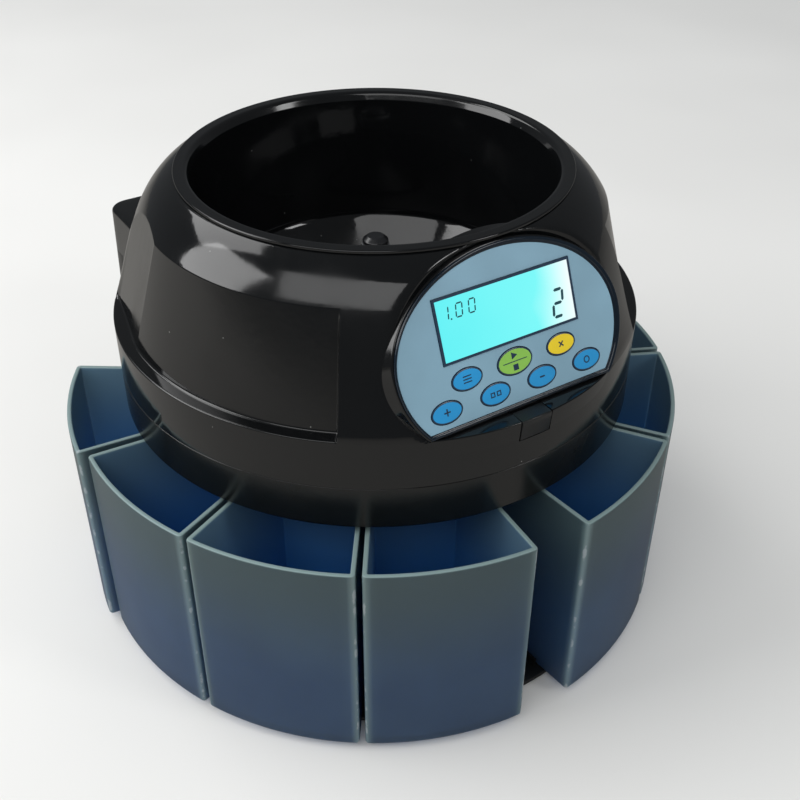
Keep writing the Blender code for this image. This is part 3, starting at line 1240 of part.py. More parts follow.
def build_latch():
    """Tab below the panel that frees the cover, with its stem inside the skirt."""
    top = PANEL_SHELF
    low = top - LATCH_FRONT_HEIGHT
    thick = LATCH_THICKNESS
    plate = top - thick
    profile = [(-LATCH_BACK_DEPTH, top), (-LATCH_LIP_DEPTH, top), (-LATCH_LIP_DEPTH, plate),
               (-LATCH_SKIRT_DEPTH, low), (-LATCH_SKIRT_DEPTH + thick, low),
               (-LATCH_SKIRT_DEPTH + thick / 2, plate), (-LATCH_BACK_DEPTH, plate)]
    half = LATCH_WIDTH / 2
    pivot = Matrix.Translation((0, -LATCH_PIVOT_DEPTH, top - LATCH_PIVOT_DROP))
    axis = make_empty("latch_pivot", COVER_HINGE, HINGE_PLACE.inverted() @ pivot)
    sections = [[(x, y, z) for y, z in profile] for x in (-half, half)]
    tab = loft("latch_tab", sections, DARK_ABS, parent=axis, undo=pivot)
    stem_half = LATCH_STEM_WIDTH / 2
    stem_low = COVER_BOTTOM - LATCH_STEM_BELOW
    stem = box("latch_stem", (-stem_half, -LATCH_STEM_DEPTH, stem_low),
               (stem_half, -LATCH_STEM_DEPTH + LATCH_STEM_THICKNESS, plate + thick / 2))
    change(tab, stem, "UNION")


def build_mains_side():
    """Inlet, switch, transformer and power board in the rear housing."""
    back = BLOCK_BACK + (BLOCK_TOP_HEIGHT - INLET_Z) * BLOCK_LEAN + SEAT_GAP
    half_width, half_height = INLET_WIDTH / 2, INLET_HEIGHT / 2
    back += (half_height + INLET_FLANGE) * BLOCK_LEAN
    flange = INLET_FLANGE
    low = (INLET_X - half_width, back - INLET_DEPTH, INLET_Z - half_height)
    high = (INLET_X + half_width, back + INLET_FLANGE_THICKNESS, INLET_Z + half_height)
    inlet = box("power_inlet", low, high, DARK_ABS)
    plate = box("inlet_flange", (low[0] - flange, back, low[2] - flange),
                (high[0] + flange, high[1], high[2] + flange))
    change(inlet, plate, "UNION")
    wall = INLET_WALL
    floor = high[1] - INLET_SOCKET_DEPTH
    socket = box("inlet_socket", (low[0] + wall, floor, low[2] + wall),
                 (high[0] - wall, high[1] + OVERRUN, high[2] - wall))
    change(inlet, socket)
    sink = OVERRUN / 2
    for i, rise in enumerate((-1, 1, -1)):
        x = INLET_X + (i - 1) * INLET_PIN_PITCH
        z = INLET_Z + rise * INLET_PIN_OFFSET
        pin = box(f"inlet_pin_{i + 1}",
                  (x - INLET_PIN_THICKNESS / 2, floor - sink, z - INLET_PIN_WIDTH / 2),
                  (x + INLET_PIN_THICKNESS / 2, floor + INLET_PIN_LENGTH, z + INLET_PIN_WIDTH / 2))
        change(inlet, pin, "UNION")

    back = BLOCK_BACK + (BLOCK_TOP_HEIGHT - SWITCH_Z) * BLOCK_LEAN + SEAT_GAP
    half_width, half_height = SWITCH_WIDTH / 2, SWITCH_HEIGHT / 2
    back += (half_height + SWITCH_FRAME) * BLOCK_LEAN
    rim = SWITCH_FRAME
    low = (SWITCH_X - half_width, back - SWITCH_DEPTH, SWITCH_Z - half_height)
    high = (SWITCH_X + half_width, back + SWITCH_FRAME_THICKNESS, SWITCH_Z + half_height)
    frame = box("switch_frame", low, high, DARK_ABS)
    plate = box("switch_rim", (low[0] - rim, back, low[2] - rim), (high[0] + rim, high[1], high[2] + rim))
    change(frame, plate, "UNION")
    wall = SWITCH_WALL
    well_floor = back - SWITCH_DEPTH / 2
    well = box("switch_well", (low[0] + wall, well_floor, low[2] + wall),
               (high[0] - wall, high[1] + OVERRUN, high[2] - wall))
    change(frame, well)
    place = Matrix.Translation((SWITCH_X, back - ROCKER_PIVOT_DEPTH, SWITCH_Z))
    pivot = make_empty("rocker_pivot", MACHINE_AXIS, place)
    half_x = half_width - wall - RUN_GAP
    reach = ROCKER_HALF_HEIGHT
    profile = [(-ROCKER_BACK, -reach), (-ROCKER_BACK, reach), (ROCKER_END, reach), (ROCKER_DISH, 0),
               (ROCKER_END, -reach)]
    sections = [[(x, y, z) for y, z in profile] for x in (-half_x, half_x)]
    rocker = loft("switch_rocker", sections, DARK_ABS, parent=pivot)
    rocker.rotation_euler = (radians(ROCKER_TILT), 0, 0)

    floor = REAR_BOTTOM + COVER_WALL
    middle = BLOCK_BACK - TRANSFORMER_SETBACK
    core_low = REAR_BOTTOM
    half_width, half_depth = TRANSFORMER_WIDTH / 2, TRANSFORMER_DEPTH / 2
    core = box("transformer", (TRANSFORMER_X - half_width, middle - half_depth, core_low),
               (TRANSFORMER_X + half_width, middle + half_depth, core_low + TRANSFORMER_HEIGHT), STEEL)
    wide = half_depth + COIL_OVERHANG
    coil = box("transformer_coil",
               (TRANSFORMER_X - half_width / 2, middle - wide, floor),
               (TRANSFORMER_X + half_width / 2, middle + wide, core_low + TRANSFORMER_HEIGHT - COVER_WALL))
    change(core, coil, "UNION")

    board_back = REAR_FRONT + COVER_WALL + SEAT_GAP
    board_front = board_back + BOARD_THICKNESS
    low_x = POWER_BOARD_X - POWER_BOARD_WIDTH / 2
    high_x = low_x + POWER_BOARD_WIDTH
    board_low = REAR_BOTTOM + POWER_BOARD_FOOT
    board_high = board_low + POWER_BOARD_HEIGHT
    board = box("power_board", (low_x, board_back, board_low), (high_x, board_front, board_high), BOARD_GREEN)
    pitch = POWER_BOARD_WIDTH / CAPACITOR_COUNT
    for i in range(CAPACITOR_COUNT):
        can = turned(f"board_capacitor_{i + 1}",
                     [(0, CAPACITOR_LENGTH), (CAPACITOR_RADIUS, CAPACITOR_LENGTH),
                      (CAPACITOR_RADIUS, 0), (0, 0)], closed=False, steps=COARSE_STEPS // 2)
        spot = (low_x + pitch * (i + 0.5), board_front - BOARD_THICKNESS / 2, board_high - pitch)
        can.matrix_local = Matrix.Translation(spot) @ Matrix.Rotation(-pi / 2, 4, "X")
        change(board, can, "UNION")


def finish_pieces():
    """Shade the pieces and keep their own origins."""
    bpy.context.view_layer.update()
    for item in PARTS.objects:
        if item.type == "MESH":
            smooth(item.data)


build_base()
build_column()
build_sorting_housing()
build_sorting_ring()
build_drive_deck()
build_spindle()
build_cups()
build_cover()
build_rear_housing()
build_bowl()
build_panel()
build_latch()
build_mains_side()
finish_pieces()
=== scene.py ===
# %% [markdown]
# # A coin counter in gloss black and frosted blue
#
# The machine is a domed head with an open bowl, over eight wedge-shaped cups. The
# CAD frame gives every size and every joint. This lesson dresses it: smooth
# moulded surfaces in place of the faceted ones, and a material for each finish.

# %% Load the frame
from math import acos, asin, cos, degrees, pi, radians, sin, tan

import bmesh
import bpy
import numpy as np
from mathutils import Matrix, Vector


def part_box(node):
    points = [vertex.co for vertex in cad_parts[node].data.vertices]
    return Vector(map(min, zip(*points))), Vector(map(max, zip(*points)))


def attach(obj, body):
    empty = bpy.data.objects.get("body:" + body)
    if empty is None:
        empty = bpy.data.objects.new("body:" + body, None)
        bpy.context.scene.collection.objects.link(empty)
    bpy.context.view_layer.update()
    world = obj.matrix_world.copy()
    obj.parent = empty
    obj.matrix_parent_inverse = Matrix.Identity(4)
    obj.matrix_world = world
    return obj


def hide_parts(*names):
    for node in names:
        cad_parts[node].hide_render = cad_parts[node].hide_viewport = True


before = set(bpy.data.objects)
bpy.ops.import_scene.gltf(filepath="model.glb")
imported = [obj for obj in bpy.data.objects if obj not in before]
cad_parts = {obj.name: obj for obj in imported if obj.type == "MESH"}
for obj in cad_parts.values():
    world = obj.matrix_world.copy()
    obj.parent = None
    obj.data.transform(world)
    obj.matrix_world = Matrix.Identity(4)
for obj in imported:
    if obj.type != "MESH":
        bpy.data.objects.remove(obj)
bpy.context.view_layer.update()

# %% [markdown]
# ## Where things are
#
# All shapes below are worked out in millimetres round the turning axis of the coin
# disc, with the control panel towards -Y. The axis stands a little behind the
# world's origin, so its place is read from the disc and added once, when a mesh is
# made.

# %% The machine's axis and its units
MM = 0.001
disc_low, disc_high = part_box("coin_disc")
AXIS = np.array([0.0, (disc_low.y + disc_high.y) / 2 / MM, 0.0])
print("axis behind the origin by", round(AXIS[1], 3), "mm")

# %% [markdown]
# ## Camera
#
# The photograph was taken with a plain lens from the front left, looking down by
# 35.6 degrees. Its place was worked out from the circles of the rim, the skirt and
# the cups. A matrix is clearer here than angles in a row: first roll, then pitch,
# then heading.

# %% Camera at the photograph's view
CAMERA_PLACE = np.array([-287.0, -469.2, 500.7])
CAMERA_PITCH = radians(35.553)
CAMERA_HEADING = radians(-32.9307)
CAMERA_ROLL = radians(0.287)
LENS, SENSOR = 49.115, 36.0


def linked(name, data):
    """A new object that holds this data, linked to the scene."""
    item = bpy.data.objects.new(name, data)
    bpy.context.scene.collection.objects.link(item)
    return item


camera = linked("photo_camera", bpy.data.cameras.new("photo_camera"))
camera.data.lens, camera.data.sensor_width = LENS, SENSOR
camera.matrix_world = (
    Matrix.Translation((CAMERA_PLACE + AXIS) * MM)
    @ Matrix.Rotation(CAMERA_HEADING, 4, "Z")
    @ Matrix.Rotation(pi / 2 - CAMERA_PITCH, 4, "X")
    @ Matrix.Rotation(CAMERA_ROLL, 4, "Z")
)
bpy.context.scene.camera = camera
print("camera", round(np.linalg.norm(CAMERA_PLACE)), "mm from the foot of the axis")

# %% [markdown]
# ## Helpers for materials
#
# Colours are written as sRGB hex, as a paint chart gives them, and turned to the
# linear values that shaders use. One function adds a node: what is a socket or
# another node is linked, and what is a number is set.

# %% Colours and nodes
def linear(hex_code):
    """Linear RGBA of an sRGB hex code: c/12.92 below 0.04045, else ((c+0.055)/1.055)^2.4."""
    parts = [int(hex_code[i:i + 2], 16) / 255 for i in (1, 3, 5)]
    return [c / 12.92 if c <= 0.04045 else ((c + 0.055) / 1.055) ** 2.4
            for c in parts] + [1.0]


def connect(tree, node, inputs):
    """Set each input, or link it to a socket or to a node's first output in use."""
    for key, value in inputs.items():
        if isinstance(value, bpy.types.Node):
            value = next(socket for socket in value.outputs if socket.enabled)
        if isinstance(value, bpy.types.NodeSocket):
            tree.links.new(value, node.inputs[key])
        else:
            node.inputs[key].default_value = value


def add(tree, kind, inputs, stops=(), **settings):
    """Add a shader node with its settings, inputs and stops: (place, colour or grey)."""
    node = tree.nodes.new("ShaderNode" + kind)
    for key, value in settings.items():
        setattr(node, key, value)
    connect(tree, node, inputs)
    line = node.color_ramp.elements if stops else []
    while len(line) < len(stops):
        line.new(0.5)
    for element, (place, value) in zip(line, stops):
        element.position = place
        element.color = value if isinstance(value, list) else [value, value, value, 1.0]
    return node


def new_finish(name, **sockets):
    """A material, its tree, its shader with plain values set, and Object coordinates."""
    finish = bpy.data.materials.new(name)
    finish.use_nodes = True
    tree = finish.node_tree
    shader = tree.nodes["Principled BSDF"]
    connect(tree, shader, {key.replace("_", " "): value for key, value in sockets.items()})
    print("finish:", name)
    return finish, tree, shader, add(tree, "TexCoord", {}).outputs["Object"]


def per_mm(size):
    """Scale of a noise on Object coordinates whose features are so many millimetres wide."""
    return 1 / (size * MM)

# %% [markdown]
# ## Gloss black ABS
#
# Dome, bowl, skirt and rear block are ABS from a polished mould. The surface is
# nearly a mirror, but it has what every such moulding has: a faint orange peel a
# few millimetres wide, smears that dull it in patches, hair-fine scratches and a
# little dust.

# %% Gloss black ABS
def moulded_abs(name, color, gloss, dull, dust):
    """ABS with orange peel, smears between two roughness values, and dust specks."""
    finish, tree, shader, place = new_finish(name, IOR=1.54)
    speck = add(tree, "TexVoronoi", {"Vector": place, "Scale": per_mm(7)})
    dot = add(tree, "ValToRGB", {"Fac": speck}, [(0.0, 1.0), (0.035, 0.7), (0.055, 0.0)])
    rare = add(tree, "SeparateColor", {"Color": speck.outputs["Color"]})
    chosen = add(tree, "ValToRGB", {"Fac": rare},
                 [(0.0, 0.0), (1.0 - dust, 0.0), (1.02 - dust, 1.0)])
    seen = add(tree, "Math", {0: dot, 1: chosen}, operation="MULTIPLY")
    tint = add(tree, "Mix", {0: seen, 6: linear(color), 7: linear("#8C8D89")}, data_type="RGBA")
    smear = add(tree, "TexNoise", {"Vector": place, "Scale": per_mm(45), "Detail": 5.0})
    rough = add(tree, "MapRange", {"Value": smear, "From Min": 0.42, "From Max": 0.68,
                                   "To Min": gloss, "To Max": dull})
    hair = add(tree, "TexNoise", {"Vector": place, "Scale": per_mm(2.2), "Detail": 2.0,
                                  "Distortion": 6.0})
    line = add(tree, "ValToRGB", {"Fac": hair}, [(0.490, 0.0), (0.5, 0.12), (0.510, 0.0)])
    peel = add(tree, "TexNoise", {"Vector": place, "Scale": per_mm(5), "Detail": 1.0})
    bump = add(tree, "Bump", {"Height": peel, "Strength": 0.10, "Distance": 0.25 * MM})
    dulled = add(tree, "Math", {0: rough, 1: line}, operation="ADD")
    connect(tree, shader, {"Base Color": tint, "Roughness": dulled, "Normal": bump})
    return finish


gloss_black = moulded_abs("gloss_black_abs_moulded", "#0B0C0D", 0.06, 0.20, 0.10)
ring_black = moulded_abs("ring_black_abs_moulded", "#0B0C0C", 0.17, 0.30, 0.08)
satin_black = moulded_abs("satin_black_abs_moulded", "#141516", 0.32, 0.46, 0.06)
dark_knob = moulded_abs("knob_cap_abs_moulded", "#1B1C1E", 0.22, 0.34, 0.0)

# %% [markdown]
# ## Frosted blue polypropylene
#
# The cups are polypropylene from a mould with a fine blasted face, so light goes
# through but no shape does. Light is painted into their colour: a greener tint that
# rises to the rim, a pale line along the rim's top and down the corners, where the
# wall would be lit through its edge, and on the cavity's faces a brighter blue for
# light that has gone through several walls. Whitened patches at the corners are
# partly wear by long use and partly a painted glint. Two attributes of the mesh say
# where that is: "inner" is 1 on the cavity's faces, and "corner" falls from 1 at a
# corner to 0 a few millimetres away.

# %% Frosted blue cup plastic
CUP_TOP = 130.9


def frosted_polypropylene(name):
    """Cloudy shell; painted light: brighter blue cavity, green fade and pale line at the rim, pale
    corners; corner patches partly wear, partly painted glint.
    """
    finish, tree, shader, place = new_finish(name, IOR=1.49, Roughness=0.40)
    height = add(tree, "SeparateXYZ", {"Vector": place}).outputs["Z"]
    inner, near = [add(tree, "Attribute", {}, attribute_name=mark).outputs["Fac"]
                   for mark in ("inner", "corner")]
    corner = add(tree, "Math", {0: near, 1: inner}, operation="SUBTRACT")
    cloud = add(tree, "TexNoise", {"Vector": place, "Scale": per_mm(60), "Detail": 3.0})
    shell = add(tree, "ValToRGB", {"Fac": cloud},
                [(0.30, linear("#4C6E8E")), (0.72, linear("#5C809E"))])
    # Painted light: a green fade up to the rim, and a pale highlight along the rim's top.
    # Each rises from 0 to its most between two distances below the rim.
    painted_green_fade, rim = [add(tree, "MapRange", {"Value": height, "From Min": (CUP_TOP - low) * MM,
                                          "From Max": (CUP_TOP - high) * MM, "To Max": most},
                       interpolation_type="SMOOTHSTEP")
                   for low, high, most in ((85, 0, 0.72), (0.8, 0.1, 0.85))]
    # Painted light down the corners, where the wall would be lit through its edge.
    painted_corner_light = add(tree, "Math", {0: corner, 1: 0.55}, operation="MULTIPLY")
    painted_edge_light = add(tree, "Math", {0: painted_corner_light, 1: rim}, operation="MAXIMUM")
    # Whitened patches near the corners: partly wear, partly a painted glint.
    patch = add(tree, "TexNoise", {"Vector": place, "Scale": per_mm(7), "Detail": 6.0})
    wear_and_glint_mask = add(tree, "Math", {0: corner, 1: patch}, operation="MULTIPLY")
    wear_and_painted_glint = add(tree, "ValToRGB", {"Fac": wear_and_glint_mask}, [(0.52, 0.0), (0.60, 1.0)])
    tint = shell
    # Painted light in this tint: the cavity's brighter blue, the green fade and the pale rim and
    # corner lines. The whitened corner patches last are partly wear, partly a painted glint.
    for share, color in ((inner, "#4796E6"), (painted_green_fade, "#758A82"), (painted_edge_light, "#A8C2C0"),
                         (wear_and_painted_glint, "#C9D4D6")):
        tint = add(tree, "Mix", {0: share, 6: tint, 7: linear(color)}, data_type="RGBA")
    # Less goes through where light is painted and in the cavity.
    painted_light_and_cavity = add(tree, "Math", {0: painted_edge_light, 1: inner}, operation="MAXIMUM")
    clear = add(tree, "MapRange", {"Value": painted_light_and_cavity, "To Min": 0.76, "To Max": 0.38})
    grit = add(tree, "TexNoise", {"Vector": place, "Scale": per_mm(0.9), "Detail": 2.0})
    bump = add(tree, "Bump", {"Height": grit, "Strength": 0.12, "Distance": 0.1 * MM})
    connect(tree, shader, {"Base Color": tint, "Transmission Weight": clear, "Normal": bump})
    return finish


cup_plastic = frosted_polypropylene("frosted_blue_polypropylene_moulded")

# %% [markdown]
# ## Panel finishes
#
# The label is a printed polycarbonate film, satin on top. The keys are printed on
# film too, each with a dark outline. The display is a backlit liquid crystal: cyan
# over most of its face and nearly white towards the lamp at its right end.

# %% Films, inks and the lit display
def printed_film(name, color, roughness=0.34):
    """Screen-printed film: one flat ink under a satin face with a fine grain."""
    finish, tree, shader, place = new_finish(name, IOR=1.58, Roughness=roughness,
                                             Coat_Weight=0.25, Coat_Roughness=0.30)
    grain = add(tree, "TexNoise", {"Vector": place, "Scale": per_mm(0.8), "Detail": 2.0})
    cloud = add(tree, "TexNoise", {"Vector": place, "Scale": per_mm(35), "Detail": 2.0})
    deep, pale = [[min(1.0, value * share) for value in linear(color)[:3]] + [1.0]
                  for share in (0.92, 1.10)]
    tint = add(tree, "ValToRGB", {"Fac": cloud}, [(0.3, deep), (0.7, pale)])
    bump = add(tree, "Bump", {"Height": grain, "Strength": 0.08, "Distance": 0.05 * MM})
    connect(tree, shader, {"Base Color": tint, "Normal": bump})
    return finish


label_film = printed_film("silver_blue_polycarbonate_film", "#82A7BA")
blue_ink = printed_film("blue_key_film", "#0C92D0")
green_ink = printed_film("green_key_film", "#8BC34D")
yellow_ink = printed_film("yellow_key_film", "#F8D914")
navy_ink = printed_film("navy_outline_film", "#12304A")
bezel_abs = moulded_abs("navy_black_bezel_abs_moulded", "#0B1722", 0.12, 0.22, 0.03)
lcd_ink = printed_film("display_segment_ink", "#1C4C57", 0.25)


def backlit_display(name):
    """Emission that goes from cyan to white across the face, in Object coordinates."""
    finish, tree, shader, place = new_finish(name, IOR=1.50, Roughness=0.08,
                                             Emission_Strength=1.0, Base_Color=linear("#0A1518"))
    spread = add(tree, "SeparateXYZ", {"Vector": place})
    across = add(tree, "MapRange", {"Value": spread, "From Min": -0.045, "From Max": 0.045,
                                    "To Min": -0.12, "To Max": 0.88})
    cloud = add(tree, "TexNoise", {"Vector": place, "Scale": per_mm(28), "Detail": 1.0})
    wave = add(tree, "Math", {0: cloud, 1: 0.24}, operation="MULTIPLY")
    total = add(tree, "Math", {0: across, 1: wave}, operation="ADD")
    glow = add(tree, "ValToRGB", {"Fac": total},
               [(0.0, linear("#62F0F4")), (0.66, linear("#7CF8F8")), (0.80, linear("#BDFEFD")),
                (0.95, linear("#F6FFFF"))])
    connect(tree, shader, {"Emission Color": glow})
    return finish


lit_display = backlit_display("backlit_display")

# %% [markdown]
# ## Metals, rubber and boards
#
# These show when the cover is up or from below. A metal's colour is its
# reflection, so only colour and roughness change between steel, aluminium and
# brass, and the machining marks come from a stretched noise.

# %% Metals, rubber and boards
def machined_metal(name, color, roughness, grain=(0.4, 0.4, 12)):
    """Metal with marks whose width and length in millimetres are given for X, Y and Z."""
    finish, tree, shader, place = new_finish(name, Metallic=1.0)
    scale = Vector([per_mm(size) for size in grain])
    stretched = add(tree, "Mapping", {"Vector": place, "Scale": scale})
    marks = add(tree, "TexNoise", {"Vector": stretched, "Scale": 1.0, "Detail": 3.0})
    rough = add(tree, "MapRange", {"Value": marks, "To Min": roughness * 0.8,
                                   "To Max": roughness * 1.3})
    bump = add(tree, "Bump", {"Height": marks, "Strength": 0.10, "Distance": 0.05 * MM})
    connect(tree, shader, {"Base Color": linear(color), "Roughness": rough, "Normal": bump})
    return finish


def speckled(name, color, other, size, roughness, ior=1.5):
    """Plain material whose colour wanders between two values over the given size."""
    finish, tree, shader, place = new_finish(name, IOR=ior, Roughness=roughness)
    cloud = add(tree, "TexNoise", {"Vector": place, "Scale": per_mm(size), "Detail": 4.0})
    tint = add(tree, "ValToRGB", {"Fac": cloud}, [(0.35, linear(color)), (0.68, linear(other))])
    bump = add(tree, "Bump", {"Height": cloud, "Strength": 0.08, "Distance": 0.1 * MM})
    connect(tree, shader, {"Base Color": tint, "Normal": bump})
    return finish


brushed_aluminium = machined_metal("brushed_aluminium", "#C4C6C8", 0.34)
zinc_steel = machined_metal("zinc_plated_steel", "#B4B6B8", 0.30, (3, 3, 3))
turned_brass = machined_metal("turned_brass", "#C7A45A", 0.30, (2, 2, 0.3))
ground_steel = machined_metal("ground_steel", "#A9ABAD", 0.22, (5, 5, 0.3))
white_acetal = speckled("white_acetal_moulded", "#D9D6CC", "#E4E1D8", 8, 0.42, 1.48)
black_rubber = speckled("black_rubber_moulded", "#161616", "#1F1F1E", 2, 0.82, 1.52)
green_board = speckled("green_solder_mask", "#0E4A2A", "#155C36", 3, 0.40)
grey_silicone = speckled("grey_silicone_moulded", "#83868A", "#8E9195", 5, 0.60, 1.41)

# %% [markdown]
# ## Helpers for shapes
#
# A piece is one or more shells of points and faces. Most shells are a grid: rows
# of a profile times columns round an axis. Corners are never left razor sharp,
# because it is the small arcs that catch the light on a moulded part.

# %% Grids and outlines
# The profile of a full body comes this close to the axis, in millimetres.
CORE = 0.001


def grid_faces(rows, columns, wrap_rows=False):
    """Quads of a grid of points, numbered row by row, whose columns close to a ring."""
    r, c = np.meshgrid(np.arange(rows if wrap_rows else rows - 1), np.arange(columns),
                       indexing="ij")
    near, far, side = r * columns, (r + 1) % rows * columns, (c + 1) % columns
    return np.stack([near + c, near + side, far + side, far + c], -1).reshape(-1, 4)


def stacked(loops):
    """Closed shell over a stack of loops of the same length, capped at both ends."""
    loops = np.asarray(loops, float)
    rows, columns = loops.shape[:2]
    faces = grid_faces(rows, columns).tolist()
    faces.append(list(range(columns))[::-1])
    faces.append(list(range((rows - 1) * columns, rows * columns)))
    return loops.reshape(-1, 3), faces


def rounded(points, radii, steps=5, closed=True, support=0.3):
    """Polyline with each corner replaced by an arc of its radius.

    A corner of turning angle a loses r tan(a/2) of both its sides, at most 0.46 of
    the shorter one. A point just outside the arc keeps the flat beside it flat.
    """
    points = np.asarray(points, float)
    count = len(points)
    radii = np.broadcast_to(radii, count)
    out = []
    for i in range(count):
        here = points[i]
        if not closed and i in (0, count - 1) or radii[i] <= 0:
            out.append(here)
            continue
        before, after = points[i - 1] - here, points[(i + 1) % count] - here
        length = min(np.linalg.norm(before), np.linalg.norm(after))
        before, after = before / np.linalg.norm(before), after / np.linalg.norm(after)
        half = acos(np.clip(before @ after, -1, 1)) / 2
        trim = min(radii[i] / tan(half), 0.46 * length)
        reach = trim * tan(half) / sin(half)
        centre = here + (before + after) / np.linalg.norm(before + after) * reach
        start, end = here + before * trim, here + after * trim
        turn = pi - 2 * half
        lead = min(support * trim, 0.04 * length)
        out.append(start + before * lead)
        for t in np.arange(steps + 1) / steps:
            first, second = sin((1 - t) * turn) / sin(turn), sin(t * turn) / sin(turn)
            out.append(centre + (start - centre) * first + (end - centre) * second)
        out.append(end + after * lead)
    return np.array(out)


def turned(profile, columns=192):
    """Shell of a profile (radius, height) turned round the axis: x = r sin a, y = -r cos a."""
    profile = np.asarray(profile, float)
    turns = np.linspace(0, 2 * pi, columns, endpoint=False)
    r, z = profile[:, :1], profile[:, 1:]
    x, y = r * np.sin(turns), -r * np.cos(turns)
    points = np.stack([x, y, np.broadcast_to(z, x.shape)], -1)
    return points.reshape(-1, 3), grid_faces(len(profile), columns, wrap_rows=True).tolist()


def drum(radius, low, high):
    """Full cylinder round the axis."""
    return turned([(CORE, high), (radius, high), (radius, low), (CORE, low)], 240)


def box_shell(low, high):
    """The six faces between two corners."""
    (a, b, c), (d, e, f) = low, high
    points = np.array([(x, y, z) for z in (c, f) for x, y in ((a, b), (d, b), (d, e), (a, e))])
    faces = [[3, 2, 1, 0], [4, 5, 6, 7], [0, 1, 5, 4], [1, 2, 6, 5], [2, 3, 7, 6], [3, 0, 4, 7]]
    return points.astype(float), faces


def around(radius, azimuths):
    """Points at a radius and azimuths in degrees, counted from the panel towards +X."""
    turns = np.radians(np.asarray(azimuths, float))
    return np.stack([radius * np.sin(turns), -radius * np.cos(turns)], -1)


def radial_bar(azimuth, near, far, half):
    """Corners of a strip that lies along a radius, from near to far, half to each side."""
    along, aside = around(1, azimuth), around(1, azimuth + 90)
    return np.array([along * r + aside * s
                     for r, s in ((near, -half), (far, -half), (far, half), (near, half))])


def at_height(outline, height):
    """Points (x, y) of an outline, all at one height."""
    outline = np.asarray(outline, float)
    return np.column_stack([outline, np.full(len(outline), float(height))])


def slab(outline, low, high):
    """Closed shell of one outline between two heights."""
    return stacked([at_height(outline, low), at_height(outline, high)])


# %% Pieces
SHARP = radians(40)
MERGE = 0.0000005


def new_object(name, shells, finishes):
    """One mesh of all the shells, in metres, smooth, with faces turned outwards."""
    points, faces, slots, start = [], [], [], 0
    for corners, polygons, *slot in shells:
        points.append(corners)
        faces += [[int(i) + start for i in polygon] for polygon in polygons]
        slots += (slot or [0]) * len(polygons)
        start += len(corners)
    mesh = bpy.data.meshes.new(name)
    mesh.from_pydata((np.vstack(points) + AXIS) * MM, [], faces)
    for finish in finishes:
        mesh.materials.append(finish)
    mesh.polygons.foreach_set("material_index", slots)
    work = bmesh.new()
    work.from_mesh(mesh)
    bmesh.ops.remove_doubles(work, verts=work.verts, dist=MERGE)
    bmesh.ops.recalc_face_normals(work, faces=work.faces)
    work.to_mesh(mesh)
    work.free()
    mesh.polygons.foreach_set("use_smooth", [True] * len(mesh.polygons))
    return linked(name, mesh)


def evaluated_mesh(item):
    """A new mesh of what an object shows, with its modifiers or its fill."""
    bpy.context.view_layer.update()
    shape = item.evaluated_get(bpy.context.evaluated_depsgraph_get())
    return bpy.data.meshes.new_from_object(shape)


def keep_result(piece):
    """Make what the modifiers give the piece's own mesh."""
    mesh = evaluated_mesh(piece)
    piece.modifiers.clear()
    piece.data = mesh


def combine(piece, *tools, operation="DIFFERENCE"):
    """Cut each tool, a shell or an object, out of a piece, or join it to the piece."""
    for tool in tools:
        if not isinstance(tool, bpy.types.Object):
            tool = new_object("tool", [tool], [])
        boolean = piece.modifiers.new("Combine", "BOOLEAN")
        boolean.operation = operation
        boolean.object = tool
        keep_result(piece)
        bpy.data.objects.remove(tool)


def soften(piece, width):
    """Bevel the sharp edges by a width in millimetres, and keep the result."""
    bevel = piece.modifiers.new("Edges", "BEVEL")
    bevel.width = width * MM
    bevel.segments = 3
    bevel.limit_method = "ANGLE"
    bevel.angle_limit = SHARP
    keep_result(piece)


def settle(piece, body, replaces=()):
    """Hang a finished piece on its body and hide the CAD nodes it stands for."""
    piece.data.set_sharp_from_angle(angle=SHARP)
    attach(piece, body)
    if replaces:
        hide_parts(*replaces)
    print(f"{piece.name}: {len(piece.data.polygons)} faces")

# %% [markdown]
# ## The dome
#
# The cover is one moulding: a plain skirt, a dome above it, a long recess in each
# side with a ledge at its foot, and a flat cut for the panel. A turned body with
# cuts in it would leave broken shading along every cut. So each column of the grid
# gets its own profile instead: skirt, ledge, recess wall, dome. The rows then run
# along the edges, the corners can be rounded, and the reflections stay clean.

# %% Side of the dome
SKIRT = 148.0
COVER_FOOT = 160.5
DOME_FOOT = 188.0
LEDGE = 188.3
DOME_TOP = 265.2
MOUTH = 101.2
WALL = 2.8
t = np.linspace(0, 1, 400)[:, None]
dome_points = ((1 - t) ** 3 * (SKIRT, DOME_FOOT) + 3 * (1 - t) ** 2 * t * (135.7, 219.5)
               + 3 * (1 - t) * t ** 2 * (132.6, 252.5) + t ** 3 * (107.0, DOME_TOP))


def dome_radius(height):
    """Radius of the dome at a height, read off its cubic curve."""
    return np.interp(height, dome_points[:, 1], dome_points[:, 0])


# %% Radius of the recess wall
RECESS_START = 39.0
RECESS_CORNER = 95.0
RECESS_FLAT = 101.4
RECESS_END = 119.9
RECESS_FOOT = 141.2
RECESS_RISE = 58.7
RECESS_LEAN = 15.3 / RECESS_RISE
CORNER_SWING = 2.5 / RECESS_RISE
SWING_FRONT, SWING_REAR = 60.0, RECESS_END + 6


def corner_azimuth(height):
    """The recess's rear corner swings forward as it rises: 95 - swing (z - 188.3)."""
    return RECESS_CORNER - CORNER_SWING * np.maximum(height - LEDGE, 0)


def recess_radius(height, azimuth):
    """Cone r = 141.2 - lean (z - 188.3) up to the corner c, then r cos(c - f) / cos(a - f)."""
    cone = RECESS_FOOT - RECESS_LEAN * (height - LEDGE)
    corner = corner_azimuth(height)
    past = np.maximum(np.abs(azimuth), corner)
    return (cone * np.cos(np.radians(corner - RECESS_FLAT))
            / np.cos(np.radians(past - RECESS_FLAT)))


